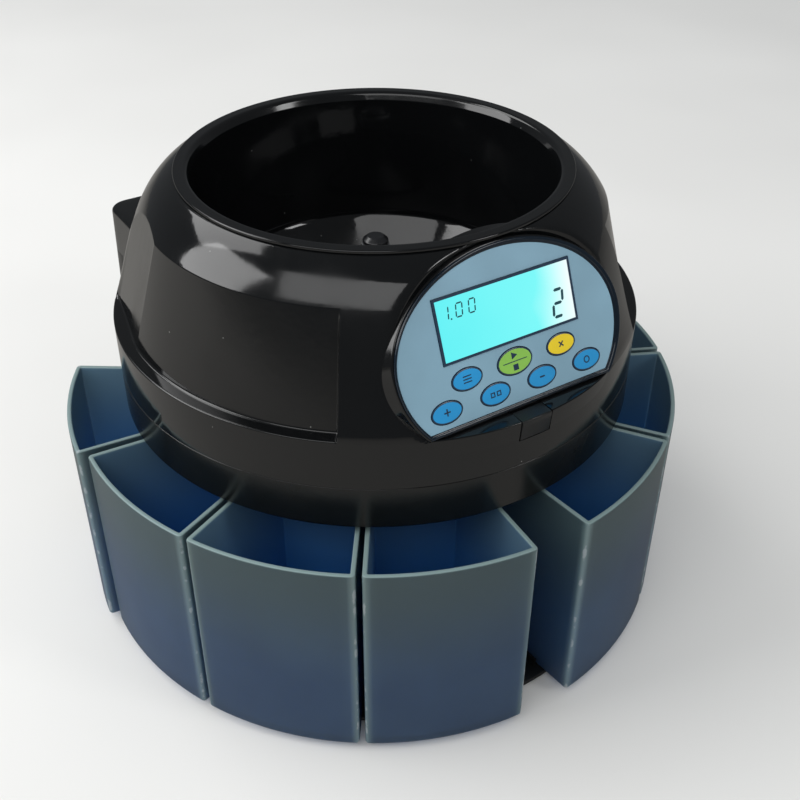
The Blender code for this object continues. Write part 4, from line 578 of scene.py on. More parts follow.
def swung(azimuth, height):
    """Azimuths that follow the corner at 95 degrees and fade to none at 60 and at the end."""
    size = np.abs(azimuth)
    weight = np.minimum((size - SWING_FRONT) / (RECESS_CORNER - SWING_FRONT),
                        (SWING_REAR - size) / (SWING_REAR - RECESS_CORNER))
    change = np.clip(weight, 0, 1) * (corner_azimuth(height) - RECESS_CORNER)
    return np.sign(azimuth) * (size + change)


def step_up(value, low, high):
    """Smooth step 3s^2 - 2s^3 from 0 at low to 1 at high."""
    s = np.clip((value - low) / (high - low), 0, 1)
    return s * s * (3 - 2 * s)


# %% Columns of the cover
SLOT_HALF, SLOT_FOOT = 9.6, 175.4
SLOT_EDGE = degrees(asin(SLOT_HALF / SKIRT))
steps = np.array([0.09, 0.17, 0.25, 0.34, 0.45, 0.6])
fine = np.concatenate([-steps[::-1], [0.0], steps])
extra = np.concatenate([RECESS_START + fine, [SLOT_EDGE, SLOT_EDGE + 0.15],
                        RECESS_CORNER + fine / 2, np.arange(115.5, 122, 1.0)])
special = np.concatenate([RECESS_START + fine, [SLOT_EDGE, RECESS_CORNER]])
columns = np.unique(np.round(np.concatenate([np.arange(-180, 180, 1.0), extra, -extra]), 3))
nearest = np.abs(np.abs(columns)[:, None] - special).min(axis=1)
# A column that all but touches one of these would leave slivers, so it is dropped.
SAME, TOO_NEAR = 0.0015, 0.06
columns = columns[(nearest <= SAME) | (nearest >= TOO_NEAR)]
print(len(columns), "columns")

# %% Rows of the cover
BEND_STEPS = 4
BEND = BEND_STEPS + 3
LOW_BENDS = 1 + 2 * BEND
WALL_ROWS = 18
SKIRT_STEPS = (0.0, 0.6, 3.0, 7.0, 11.0)
SEARCH_LOW, SEARCH_HIGH = 192.0, 262.0


def recess_profile(azimuth):
    """Rows of one column through the recess: skirt, ledge, wall, dome, lip seat.

    Between the ledge's inner corner and the top edge the wall is straight, because
    the cone and the flat are both ruled by straight lines that follow the corner.
    """
    heights = np.linspace(SEARCH_LOW, SEARCH_HIGH, 500)
    gap = dome_radius(heights) - recess_radius(heights, swung(azimuth, heights))
    crossing = heights[np.argmax(gap <= 0)] if np.any(gap <= 0) else SEARCH_HIGH
    crossing = max(crossing, SEARCH_LOW + 4)
    foot = min(float(recess_radius(LEDGE, azimuth)), SKIRT - 0.6)
    corners = [(SKIRT, COVER_FOOT + 15), (SKIRT, LEDGE), (foot, LEDGE),
               (dome_radius(crossing), crossing), (dome_radius(crossing + 1.5), crossing + 1.5)]
    bends = rounded(corners, [0, 0.8, 1.4, 2.2, 0], steps=BEND_STEPS, closed=False, support=0.5)
    skirt = [(SKIRT, COVER_FOOT + step) for step in SKIRT_STEPS]
    low, high = bends[LOW_BENDS - 1], bends[LOW_BENDS]
    wall = low + (high - low) * np.linspace(0, 1, WALL_ROWS + 2)[1:-1, None]
    rise = np.linspace(bends[-2][1] + 0.8, DOME_TOP - 1.2, 30)
    dome = np.column_stack([dome_radius(rise), rise])
    rim = [(dome_radius(DOME_TOP - 0.5), DOME_TOP - 0.5), (106.9, DOME_TOP - 0.1),
           (106.3, DOME_TOP), (MOUTH + 1.0, DOME_TOP), (MOUTH, DOME_TOP - 0.3)]
    return np.vstack([skirt, bends[:LOW_BENDS], wall, bends[LOW_BENDS:-1], dome, rim])


# The same rows where there is no recess: ledge and wall lie along the dome.
plain = recess_profile(60.0)
cut_rows = slice(len(SKIRT_STEPS), len(SKIRT_STEPS) + LOW_BENDS + WALL_ROWS + BEND)
path = plain[cut_rows]
lengths = np.linalg.norm(np.diff(path, axis=0), axis=1)
share = np.concatenate([[0], np.cumsum(lengths)]) / lengths.sum()
heights = path[0, 1] + share * (path[-1, 1] - path[0, 1])
plain[cut_rows] = np.column_stack([np.where(heights < DOME_FOOT, SKIRT, dome_radius(heights)),
                                   heights])
print(len(plain), "rows")

# %% Flat cut for the control panel
TILT = radians(22.5)
PANEL_FOOT = np.array([0.0, -137.5, 189.0])
PANEL_AXES = np.array([[1, 0, 0], [0, sin(TILT), cos(TILT)], [0, -cos(TILT), sin(TILT)]])
PANEL_MIDDLE, PANEL_CHORD = 31.0, -1.5
PANEL_HALF, PANEL_RISE, PANEL_FALL = 67.5, 50.0, 56.0
SHELF = 187.6


def on_panel(points):
    """From panel coordinates (across, up, out) to the machine's axes."""
    return PANEL_FOOT + np.asarray(points, float) @ PANEL_AXES


def panel_distance(across, up):
    """Distance outside the panel's outline: two half ovals, cut straight at the foot."""
    rise = np.where(up > PANEL_MIDDLE, PANEL_RISE, PANEL_FALL)
    reach = np.sqrt((across / PANEL_HALF) ** 2 + ((up - PANEL_MIDDLE) / rise) ** 2)
    size = np.hypot(across, up - PANEL_MIDDLE)
    return np.maximum(size * (1 - 1 / np.maximum(reach, 0.01)), PANEL_CHORD - up)


def press_in_panel(points):
    """Push the dome behind the panel's plane, with a soft limit that rises outside it.

    The limit is 0.8 mm behind the plane, falls by 1.1 d inside the outline, and rises
    by 0.5 d outside it. The soft minimum of two values is -s ln(e^(-a/s) + e^(-b/s)).
    """
    soft, passes = 0.5, 4
    for _ in range(passes):
        across, up, out = ((points - PANEL_FOOT) @ PANEL_AXES.T).T
        distance = panel_distance(across, up)
        limit = np.maximum(-0.8 + np.where(distance < 0, 1.1, 0.5) * distance, -5.0)
        lower = -soft * np.logaddexp(-out / soft, -limit / soft)
        turn = np.arctan2(points[:, 0], -points[:, 1])
        reach = (points[:, 2] > SHELF - 0.8) & (np.abs(turn) < 0.75)
        change = np.where(reach, (lower - out) / (cos(TILT) * np.cos(turn)), 0.0)
        radius = np.hypot(points[:, 0], points[:, 1]) + np.minimum(change, 0)
        points = np.stack([radius * np.sin(turn), -radius * np.cos(turn), points[:, 2]], -1)
    return points


def between(plain, cut, share):
    """Fade from one profile to the other in height and in depth below the dome.

    A straight mix of two points that both lie on the curved dome would lie inside it
    and leave a dent, so the depth is mixed and not the radius.
    """
    height = plain[:, 1] * (1 - share) + cut[:, 1] * share
    depth = (dome_radius(plain[:, 1]) - plain[:, 0]) * (1 - share)
    depth += (dome_radius(cut[:, 1]) - cut[:, 0]) * share
    return np.column_stack([dome_radius(height) - depth, height])


# %% Build the cover's shell
grid = np.zeros((len(plain), len(columns), 3))
for i, azimuth in enumerate(columns):
    size = abs(azimuth)
    share = step_up(size, RECESS_START - 0.3, RECESS_START + 0.3)
    share *= 1 - step_up(size, RECESS_END - 3.4, RECESS_END - 0.4)
    profile = plain
    if share > 0:
        profile = between(plain, recess_profile(min(size, RECESS_END - 0.6)), share)
    radius, height = profile.T
    turn = np.radians(swung(azimuth, height))
    grid[:, i] = np.column_stack([radius * np.sin(turn), -radius * np.cos(turn), height])
shaped = press_in_panel(grid.reshape(-1, 3))
quads = grid_faces(*grid.shape[:2])
centre = shaped[quads].mean(axis=1)
in_slot = (np.abs(centre[:, 0]) < SLOT_HALF) & (centre[:, 1] < -135)
in_slot &= (centre[:, 2] > SLOT_FOOT) & (centre[:, 2] < SHELF + 0.4)
cover_shell = new_object("dome_and_skirt", [(shaped, quads[~in_slot].tolist())], [gloss_black])
outward = sum(face.normal.dot(Vector((face.center.x, face.center.y - AXIS[1] * MM, 0)))
              for face in cover_shell.data.polygons[:400])
if outward < 0:
    cover_shell.data.flip_normals()
wall = cover_shell.modifiers.new("Wall", "SOLIDIFY")
wall.thickness = WALL * MM
wall.offset = -1
keep_result(cover_shell)
settle(cover_shell, "cover", ["hopper_cover"])

# %% [markdown]
# ## Upper part of the rear block
#
# Behind the dome a square block lifts with the cover. It is a stack of rounded
# outlines that widen a little downwards, the draft that lets it leave the mould.
# Its cavity and the dome's own hollow are cut out of it.

# %% Outline of the rear block
BLOCK_TOP = 203.5
BLOCK_SEAM = 175.3
BLOCK_HALF, BLOCK_BACK, BLOCK_CORNER = 101.5, 156.0, 12.0
HOUSING_FRONT = 137.0
WIDE, BEHIND = 170.0, 200.0
DRAFT = tan(radians(1.4))


def block_outline(height, front, inset=0.0):
    """Square in front and round behind; each side moves out by the draft."""
    spread = (BLOCK_TOP - height) * DRAFT - inset
    half, back, corner = BLOCK_HALF + spread, BLOCK_BACK + spread, BLOCK_CORNER - inset
    square = [(-half, front), (half, front), (half, back), (-half, back)]
    return rounded(square, [0, 0, corner, corner], steps=10)


def block_shell(low, high, front, inset=0.0, edge=0.0):
    """Stack of outlines; the top edge is a quarter round of the given radius."""
    turns = np.linspace(0, pi / 2, 6) if edge else [0.0]
    levels = {(low, 0.0)} if edge else {(low, 0.0), (low + 2, 0.0)}
    levels |= {(high - edge + edge * sin(turn), edge * (1 - cos(turn))) for turn in turns}
    return stacked([at_height(block_outline(z, front, inset + extra), z)
                    for z, extra in sorted(levels)])


def behind(front, low, high):
    """Box over the whole width behind a plane."""
    return box_shell((-WIDE, front, low), (WIDE, BEHIND, high))


dome_heights = np.linspace(DOME_TOP, DOME_FOOT, 24)
plug = [(CORE, DOME_TOP + 20), (dome_radius(DOME_TOP) - WALL / 2, DOME_TOP + 20),
        *np.column_stack([dome_radius(dome_heights) - WALL / 2, dome_heights]),
        (SKIRT - WALL / 2, 100), (CORE, 100)]
block_top = new_object("rear_block_top", [block_shell(COVER_FOOT, BLOCK_TOP, 60, edge=2.0)],
                       [gloss_black])
combine(block_top, behind(HOUSING_FRONT, 100, BLOCK_SEAM), turned(plug, 160))
room = new_object("room", [block_shell(COVER_FOOT - 5, BLOCK_TOP - WALL, 62, inset=WALL)], [])
combine(room, behind(HOUSING_FRONT - WALL, 100, BLOCK_SEAM + WALL))
combine(block_top, room)
settle(block_top, "cover")

# %% [markdown]
# ## Shelf and tab below the panel
#
# Below the panel the cut leaves a level shelf, whose rounded edge stands a hair
# proud of the skirt. It is split in the middle for the tab that frees the cover,
# and it ends where the panel's plane leaves the skirt.

# %% Front shelf
SHELF_END = 22.3


def shelf_half(side):
    """Grid of a rounded profile over azimuths from the slot out to the corner."""
    loops = []
    for azimuth in np.linspace(SLOT_EDGE, SHELF_END, 40) * side:
        face = SKIRT + 0.9 * (1 - (azimuth / SHELF_END) ** 4) - 0.1
        inner, back = min(136.6 / cos(radians(azimuth)), SKIRT - 2.4), SKIRT - 1.9
        profile = rounded([(inner, 184.6), (back, 184.6), (back, 174.0), (SKIRT - 0.25, 174.0),
                           (face, SHELF - 1.2), (face, SHELF), (inner, SHELF)],
                          [0, 0, 0, 0, 0, 0.7, 0], steps=4)
        loops.append(np.column_stack([around(profile[:, 0], azimuth), profile[:, 1]]))
    return stacked(loops)


bridge = box_shell((-SLOT_HALF, -139.3, 184.0), (SLOT_HALF, -134.0, SHELF))
shelf = new_object("front_shelf", [shelf_half(1), shelf_half(-1), bridge], [gloss_black])
settle(shelf, "cover")

# %% Tab that frees the cover
tab_profile = rounded([(-140.0, SHELF), (-149.0, SHELF), (-148.9, SHELF - 3.0), (-147.9, 175.8),
                       (-145.4, 175.8), (-146.4, SHELF - 2.5), (-140.0, SHELF - 2.5)],
                      [0.3, 0.8, 1.0, 0.25, 0.5, 0.8, 0.3], steps=4)
TAB_MIDDLE = (-147.0, 184.5)
to_middle = tab_profile - TAB_MIDDLE
tab_loops = []
for x, inset in ((-9.0, 0.45), (-8.87, 0.13), (-8.55, 0.0), (8.55, 0.0), (8.87, 0.13),
                 (9.0, 0.45)):
    ring = tab_profile - np.clip(np.abs(to_middle), 0, inset) * np.sign(to_middle)
    tab_loops.append(np.column_stack([np.full(len(ring), x), ring]))
stem = box_shell((-6, -143.0, 156.5), (6, -141.2, 186.0))
settle(new_object("release_tab", [stacked(tab_loops), stem], [satin_black]), "latch",
       ["latch_tab"])

# %% [markdown]
# ## Seat, bezel and label
#
# The panel is a D-shaped face that stands a little proud of the dome. Its seat
# widens downwards into the dome. On it lie a dark bezel with a low inner step, and
# the printed film. Film and keys lie a little over a millimetre to the left of the
# seat's middle, so the bezel is narrow on the left and broad on the right.

# %% Outline of the panel
def panel_outline(inset=0.0, steps=120):
    """Oval arc u = a cos t, v = 31 + b sin t from corner to corner, closed by the chord."""
    half, rise, fall = PANEL_HALF - inset, PANEL_RISE - inset, PANEL_FALL - inset
    start = -asin((PANEL_MIDDLE - PANEL_CHORD - inset) / fall)
    turns = np.linspace(start, pi - start, steps)
    height = np.where(np.sin(turns) > 0, rise, fall)
    arc = np.stack([half * np.cos(turns), PANEL_MIDDLE + height * np.sin(turns)], -1)
    return np.vstack([arc, np.linspace(arc[-1], arc[0], 14)[1:-1]])


def panel_rings(levels, shift=0.0):
    """Stack of panel outlines; a level is (inset, out), and inner ones move by shift."""
    first, last = 0.9, levels[-1][0]
    return [on_panel(at_height(panel_outline(inset)
                               + (shift * np.clip((inset - first) / (last - first), 0, 1), 0), out))
            for inset, out in levels]


seat = stacked(panel_rings([(-5.8, -13.5), (-2.6, -6.0), (-0.75, -1.8), (-0.45, -0.9),
                            (-0.15, -0.3), (0.25, -0.05), (0.8, 0.0), (6.0, 0.0)]))
settle(new_object("panel_seat", [seat], [gloss_black]), "cover")

# %% Bezel with its inner step
FILM_SHIFT = -1.25
bezel_levels = [(0.5, 0.3), (0.5, 0.9), (0.62, 1.25), (0.9, 1.45), (1.2, 1.5), (1.75, 1.5),
                (1.95, 1.42), (2.05, 1.2), (2.15, 1.05), (2.35, 1.0), (2.65, 0.98), (2.8, 0.9),
                (2.9, 0.7), (2.9, 0.3)]
loops = np.array(panel_rings(bezel_levels, FILM_SHIFT))
bezel_shell = (loops.reshape(-1, 3), grid_faces(*loops.shape[:2], wrap_rows=True).tolist())
settle(new_object("navy_bezel", [bezel_shell], [bezel_abs]), "cover", ["panel_bezel"])


# %% Flat prisms with holes
def panel_prism(outlines, low, high, slot=0):
    """Flat outlines on the panel, filled with their holes as a curve, from low to high."""
    curve = bpy.data.curves.new("outline", "CURVE")
    curve.dimensions = "2D"
    curve.fill_mode = "BOTH"
    curve.extrude = (high - low) / 2
    for outline in outlines:
        spline = curve.splines.new("POLY")
        spline.points.add(len(outline) - 1)
        flat = np.column_stack([outline, np.zeros(len(outline)), np.ones(len(outline))])
        spline.points.foreach_set("co", flat.ravel())
        spline.use_cyclic_u = True
    guide = linked("outline", curve)
    mesh = evaluated_mesh(guide)
    points = np.zeros(len(mesh.vertices) * 3)
    mesh.vertices.foreach_get("co", points)
    bpy.data.objects.remove(guide)
    faces = [list(polygon.vertices) for polygon in mesh.polygons]
    return on_panel(points.reshape(-1, 3) + (0, 0, (low + high) / 2)), faces, slot


def oval(half_width, half_height, middle=(0, 0)):
    """Points (a cos t, b sin t) round a middle."""
    turns = np.linspace(0, 2 * pi, 64, endpoint=False)
    return np.stack([half_width * np.cos(turns), half_height * np.sin(turns)], -1) + middle


def rectangle(left, bottom, right, top):
    """Four corners, against the clock."""
    return np.array([(left, bottom), (right, bottom), (right, top), (left, top)], float)


# %% Label
KEY_SIZE, START_SIZE = (8.8, 5.4), (10.4, 6.6)
KEYS = [
    ("key_plus", (-43.9, 9.7), KEY_SIZE, blue_ink, "plus"),
    ("key_list", (-15.5, 9.7), KEY_SIZE, blue_ink, "squares"),
    ("key_minus", (12.9, 9.7), KEY_SIZE, blue_ink, "minus"),
    ("key_set", (41.3, 9.8), KEY_SIZE, blue_ink, "ring"),
    ("key_report", (-29.6, 21.9), KEY_SIZE, blue_ink, "lines"),
    ("key_start", (-1.3, 22.0), START_SIZE, green_ink, "start"),
    ("key_clear", (27.3, 22.1), KEY_SIZE, yellow_ink, "cross"),
]
KEY_GAP = 0.35
FILM_FOOT, FILM_TOP = 0.3, 0.8
holes = [oval(width + KEY_GAP, height + KEY_GAP, middle)
         for _, middle, (width, height), _, _ in KEYS]
window = rectangle(-41.0, 31.1, 40.3, 63.5)
film_edge = panel_outline(3.1) + (FILM_SHIFT, 0)
label = new_object("label_film", [panel_prism([film_edge, window] + holes, FILM_FOOT, FILM_TOP)],
                   [label_film])
settle(label, "cover", ["panel_label"])

# %% [markdown]
# ## Display
#
# A dark frame, the lit face in it, and the segments as thin dark inlays. Digits are
# seven bars on a slanted grid, as on any such display.

# %% Seven-segment digits
SEGMENTS = {"0": "abcdef", "1": "bc", "2": "abged"}
BAR_ENDS = {"a": ((0, 2), (1, 2)), "b": ((1, 1), (1, 2)), "c": ((1, 0), (1, 1)),
            "d": ((0, 0), (1, 0)), "e": ((0, 0), (0, 1)), "f": ((0, 1), (0, 2)),
            "g": ((0, 1), (1, 1))}
SLANT = 0.12


def unit_along(start, end):
    """Unit vector from start to end, and the one to its left."""
    along = (end - start) / np.linalg.norm(end - start)
    return along, np.array([-along[1], along[0]])


def digit(text, left, bottom, width, height, bar):
    """Bars a to g of one digit; each is a six-cornered strip between grid points."""
    strips = []
    for name in SEGMENTS[text]:
        start, end = np.array(BAR_ENDS[name]) * (width, height / 2)
        along, aside = unit_along(start, end)
        start, end = start + along * bar * 0.28, end - along * bar * 0.28
        nose, side = along * bar / 2, aside * bar / 2
        strip = np.array([start, start + nose - side, end - nose - side, end,
                          end - nose + side, start + nose + side])
        strip[:, 0] += strip[:, 1] * SLANT
        strips.append(strip + (left, bottom))
    return strips


# %% Display window
FACE, WINDOW_REAR = 1.4, -2.9
face_edge = rectangle(-39.5, 32.6, 38.8, 62.0)
DIGITS = [("1", -36.8, 52.0, 3.4, 6.4, 0.7), ("0", -29.0, 52.0, 3.5, 6.4, 0.7),
          ("0", -21.7, 52.0, 3.5, 6.4, 0.7), ("2", 25.9, 35.9, 5.8, 13.2, 1.5)]
point = rectangle(-32.2, 51.6, -31.4, 52.4)
strips = [strip for row in DIGITS for strip in digit(*row)] + [point]
display = new_object("display", [
    panel_prism([rectangle(-40.8, 31.3, 40.1, 63.3), face_edge], WINDOW_REAR, FACE, 1),
    panel_prism([face_edge], WINDOW_REAR, FACE - 0.12, 0),
    *[panel_prism([strip], FACE - 0.14, FACE - 0.08, 2) for strip in strips],
], [lit_display, navy_ink, lcd_ink])
settle(display, "cover", ["display_window"])

# %% [markdown]
# ## Keys
#
# Each key is an oval with a slightly crowned face and a dark printed outline. The
# signs are plain ones: plus, minus, a cross, lines, squares, a ring, and the
# triangle and square of start and stop.

# %% Signs on the keys
def bar_sign(x0, y0, x1, y1, width=0.8):
    """Strip of a width from one point to the other."""
    start, end = np.array([x0, y0], float), np.array([x1, y1], float)
    side = unit_along(start, end)[1] * width / 2
    return np.array([start - side, end - side, end + side, start + side])


ARM, THIN = 1.8, 0.38
PLUS = np.array([(-ARM, -THIN), (-THIN, -THIN), (-THIN, -ARM), (THIN, -ARM), (THIN, -THIN),
                 (ARM, -THIN), (ARM, THIN), (THIN, THIN), (THIN, ARM), (-THIN, ARM),
                 (-THIN, THIN), (-ARM, THIN)])
eighth = radians(45)
spin = np.array([[cos(eighth), sin(eighth)], [-sin(eighth), cos(eighth)]])
SIGNS = {
    "plus": [[PLUS]],
    "minus": [[bar_sign(-1.5, 0, 1.5, 0)]],
    "cross": [[PLUS @ spin]],
    "lines": [[bar_sign(-2.4, rise, 2.4, rise, 0.6)] for rise in (-1.5, 0.0, 1.5)],
    "squares": [[rectangle(left, -1.3, left + 2.6, 1.3),
                 rectangle(left + 0.6, -0.7, left + 2.0, 0.7)] for left in (-3.1, 0.5)],
    "ring": [[oval(1.9, 1.9), oval(1.25, 1.25)]],
    "start": [[bar_sign(-7.2, 0, 7.2, 0, 0.45)],
              [np.array([(-1.6, 1.2), (1.9, 3.0), (-1.6, 4.8)])],
              [rectangle(-1.5, -4.5, 1.5, -1.5)]],
}

# %% Build the keys
KEY_REAR, KEY_FRONT = -3.6, 1.2
for name, middle, (width, height), ink, sign in KEYS:
    levels = [(0.0, KEY_REAR), (0.0, 0.75), (0.06, 1.0), (0.3, 1.12), (0.75, 1.17),
              (1.5, KEY_FRONT)]
    loops = [on_panel(at_height(oval(width - inset, height - inset, middle), out))
             for inset, out in levels]
    points, faces = stacked(loops)
    count = len(loops[0])
    # The outline ends at the fourth ring of faces; the rear cap belongs to it too.
    outline = (points, faces[:4 * count] + faces[5 * count:5 * count + 1], 1)
    top = (points, faces[4 * count:5 * count] + faces[5 * count + 1:], 0)
    marks = [panel_prism([part + middle for part in shape], KEY_FRONT - 0.03, KEY_FRONT + 0.03, 1)
             for shape in SIGNS[sign]]
    key = new_object(f"{name}_cap", [outline, top] + marks, [ink, navy_ink])
    settle(key, name, [name])

# %% [markdown]
# ## Bowl
#
# The bowl drops into the dome's mouth. Its rolled lip is what catches the light
# along the top, and a shadow line under the lip parts it from the dome.

# %% Bowl
LIP_TOP = 267.15
bowl_profile = rounded([(106.9, 265.5), (106.9, LIP_TOP), (99.7, LIP_TOP), (97.7, 262.6),
                        (97.7, 187.6), (84.0, 170.4), (86.6, 170.4), (100.2, 186.6),
                        (100.2, 265.5)],
                       [0.3, 1.1, 3.0, 1.5, 9.0, 0.5, 0.5, 8.0, 0.3], steps=7)
settle(new_object("bowl_with_lip", [turned(bowl_profile, 240)], [gloss_black]), "cover",
       ["hopper_bowl"])

# %% [markdown]
# ## Disc, centre post and knob
#
# At the bottom of the bowl turns the disc, with three low ribs on it. The post in
# its middle is a flat-footed cone, and the knob on it is turned aluminium with a
# dark cap.

# %% Disc
disc_profile = rounded([(5.3, 166.8), (5.3, 149.6), (14.0, 149.6), (14.0, 164.0), (92.9, 164.0),
                        (92.9, 166.8)], [0, 0, 0.5, 0.5, 0.4, 0.8], steps=4)
disc = new_object("disc_plate", [turned(disc_profile)], [satin_black])
for azimuth in (0, 120, 240):
    rib = stacked([at_height(radial_bar(azimuth, 45 + inset, 75 - inset, 1.5 - inset * 0.8), z)
                   for z, inset in ((166.0, 0), (168.3, 0.2), (168.8, 0.5), (169.0, 1.0))])
    combine(disc, rib, operation="UNION")
settle(disc, "disc", ["coin_disc"])

# %% Centre post and knob
share = np.linspace(0, 1, 40)
slope = np.column_stack([6.2 + 19.8 * share ** 2.2, 207.1 - 38.0 * share])
post_profile = [(5.3, 167.1), (5.3, 175.1), (CORE, 175.1), (CORE, 207.1), (5.6, 207.1),
                *slope[1:], (26.0, 168.0), (25.6, 167.3), (25.2, 167.1)]
settle(new_object("centre_post", [turned(post_profile, 96)], [satin_black]), "disc",
       ["disc_cone"])
knob_side = rounded([(CORE, 207.4), (6.6, 207.4), (7.8, 214.2), (7.8, 216.4), (CORE, 216.4)],
                    [0, 0.5, 0.8, 0.3, 0], steps=4)
cap_side = rounded([(CORE, 216.5), (7.3, 216.5), (7.3, 218.6), (4.6, 220.9), (CORE, 220.9)],
                   [0, 0.3, 1.2, 1.4, 0], steps=5)
knob = new_object("centre_knob", [(*turned(knob_side, 64), 0), (*turned(cap_side, 64), 1)],
                  [brushed_aluminium, dark_knob])
settle(knob, "disc", ["disc_knob"])

# %% [markdown]
# ## Lower ring of the head
#
# Below the cover's part line the same skirt goes on in a fixed ring, with eight
# windows in its floor, one over each cup. Square shoulders run from it to the rear
# block.

# %% Lower ring
RING_FOOT, RING_TOP = 135.5, 160.2
CUP_AZIMUTHS = [side * (19.6 + 30 * step) for side in (1, -1) for step in range(4)]
RAIL_AZIMUTHS = [side * (4.6 + 30 * step) for side in (1, -1) for step in range(5)]
ring_profile = rounded([(SKIRT, RING_TOP), (SKIRT, RING_FOOT), (80.0, RING_FOOT), (80.0, 138.5),
                        (92.0, 138.5), (92.0, 163.2), (95.0, 163.2), (95.0, 138.5),
                        (145.0, 138.5), (145.0, 157.2), (134.0, 157.2), (134.0, RING_TOP)],
                       [0.4, 1.2, 0.3, 0.3, 0.3, 0.3, 0.3, 1.0, 1.0, 0.5, 0.3, 0.3], steps=4)
lower_ring = new_object("lower_ring", [turned(ring_profile, 240)], [ring_black])
for azimuth in CUP_AZIMUTHS:
    near = around(104.0, np.linspace(azimuth - 10, azimuth + 10, 9))
    far = around(139.0, np.linspace(azimuth + 10, azimuth - 10, 9))
    combine(lower_ring, slab(np.vstack([near, far]), 130.0, 140.0))
shoulders = new_object("shoulders", [block_shell(RING_FOOT, RING_TOP, 60)], [gloss_black])
combine(shoulders, behind(HOUSING_FRONT, 100, 200), drum(146.5, 120, 180))
soften(shoulders, 0.4)
settle(lower_ring, "machine", ["sorting_housing"])
settle(shoulders, "machine")

# %% Dividers between the chutes
bars = [slab(radial_bar(azimuth, 94.5, 145.5, 1), 138.0, 157.6) for azimuth in RAIL_AZIMUTHS]
settle(new_object("chute_dividers", bars, [gloss_black]), "machine")

# %% Sorting ring
RAIL_INSIDE = 133.0
SLOT_SIZES = (16.25, 18.75, 19.75, 21.25, 22.25, 23.25, 24.25, 25.75)
track = rounded([(138.5, 170.3), (138.5, 160.5), (134.5, 160.5), (134.5, 163.5), (93.5, 163.5),
                 (93.5, 166.5), (RAIL_INSIDE, 166.5), (RAIL_INSIDE, 170.3)],
                [0.5, 0.3, 0.3, 0.5, 0.3, 0.3, 0.4, 0.5], steps=3)
sorting_ring = new_object("sorting_track", [turned(track, 240)], [brushed_aluminium])
# The slots widen clockwise, from the right rear cup to the left rear one.
for azimuth, size in zip(sorted(CUP_AZIMUTHS, reverse=True), SLOT_SIZES):
    opening = radial_bar(azimuth, RAIL_INSIDE - 0.6 - size, RAIL_INSIDE - 1.5, size * 0.575)
    combine(sorting_ring, slab(rounded(opening, 2.0, steps=4), 158.0, 172.0))
settle(sorting_ring, "machine", ["sorting_ring"])

# %% [markdown]
# ## Cups
#
# A cup is a wedge between two radii: round corners, a thin rim, and a floor with a
# small fillet. All loops of the stack follow one plan drawn in by an inset, so the
# wall stays even. The left rear cup stands 5 mm pulled out.

# %% Plan of a cup
CUP_HALF_ANGLE = 14.5
CUP_INNER, CUP_OUTER = 100.5, 177.5
CUP_WALL = 2.6
PULLED_CUP, PULLED_BY = 8, 5.0


def cup_plan(inset, corner):
    """Sides parallel to the radii at +-14.5 degrees, arcs of radius 100.5 and 177.5.

    Each side has two more points near its ends, so that a tint can fade out there.
    """
    inner, outer = CUP_INNER + inset, CUP_OUTER - 0.01 - inset
    near, far = [CUP_HALF_ANGLE - degrees(asin(inset / radius)) for radius in (inner, outer)]
    front, back = (around(inner, np.linspace(-near, near, 13)),
                   around(outer, np.linspace(far, -far, 21)))
    ends = np.array([0.065, 0.935])[:, None]
    sides = [start + (end - start) * ends
             for start, end in ((front[-1], back[0]), (back[-1], front[0]))]
    loop = np.vstack([front, sides[0], back, sides[1]])
    # The arcs have 13 and 21 points, so these are the places of the four corners.
    radii = np.zeros(len(loop))
    radii[[0, 12, 15, 35]] = corner
    return rounded(loop, radii, steps=6)


def cup_shell():
    """Stack of plans from the floor outside, over the rim, to the floor inside.

    The marks are 1 - (d - 0.9) / 4 at a distance d from the nearest corner, kept
    between 0 and 1, and 1 on the cavity's loops.
    """
    levels = [(4.0, 5.6, 1.0), (1.0, 5.6, 1.6), (0.35, 5.85, 1.8), (0.05, 6.5, 2.0)]
    levels += [(0.0, z, 2.0) for z in (7.6, 30, 60, 90, 115, 128.6, 129.9)]
    levels += [(0.12, 130.5, 1.9), (0.45, 130.85, 1.7), (0.8, CUP_TOP, 1.5),
               (1.8, CUP_TOP, 1.0), (2.15, 130.85, 0.9), (2.48, 130.5, 0.8)]
    levels += [(CUP_WALL, z, 0.8) for z in (129.9, 128.6, 90, 50, 12)]
    levels += [(2.75, 10.2, 0.8), (3.3, 9.1, 0.8), (4.4, 8.6, 0.6), (7.0, 8.6, 0.5)]
    loops = np.array([at_height(cup_plan(inset, corner), z) for inset, z, corner in levels])
    outer_wall = loops[5, :, :2]
    gaps = [np.linalg.norm(outer_wall - around(radius, side * CUP_HALF_ANGLE), axis=1)
            for radius in (CUP_INNER, CUP_OUTER) for side in (-1, 1)]
    near_corner = np.clip(1 - (np.min(gaps, axis=0) - 0.9) / 4.0, 0, 1)
    inside = np.array([inset > 2.2 or z > 8 and inset > 2 for inset, z, _ in levels], float)
    shape = loops.shape[:2]
    marks = {"corner": np.broadcast_to(near_corner, shape).ravel(),
             "inner": np.broadcast_to(inside[:, None], shape).ravel()}
    return (*stacked(loops), marks)


# %% Build the cups
cup_points, cup_faces, cup_marks = cup_shell()
for number, azimuth in enumerate(CUP_AZIMUTHS, 1):
    turn = radians(azimuth)
    spin = np.array([[cos(turn), sin(turn), 0], [-sin(turn), cos(turn), 0], [0, 0, 1]])
    pull = PULLED_BY if number == PULLED_CUP else 0.0
    placed = cup_points @ spin + (*around(pull, azimuth), 0)
    cup = new_object(f"wedge_cup_{number}", [(placed, cup_faces)], [cup_plastic])
    for mark, values in cup_marks.items():
        cup.data.attributes.new(mark, "FLOAT", "POINT").data.foreach_set("value", values)
    settle(cup, f"cup_{number}", [f"cup_{number}"])

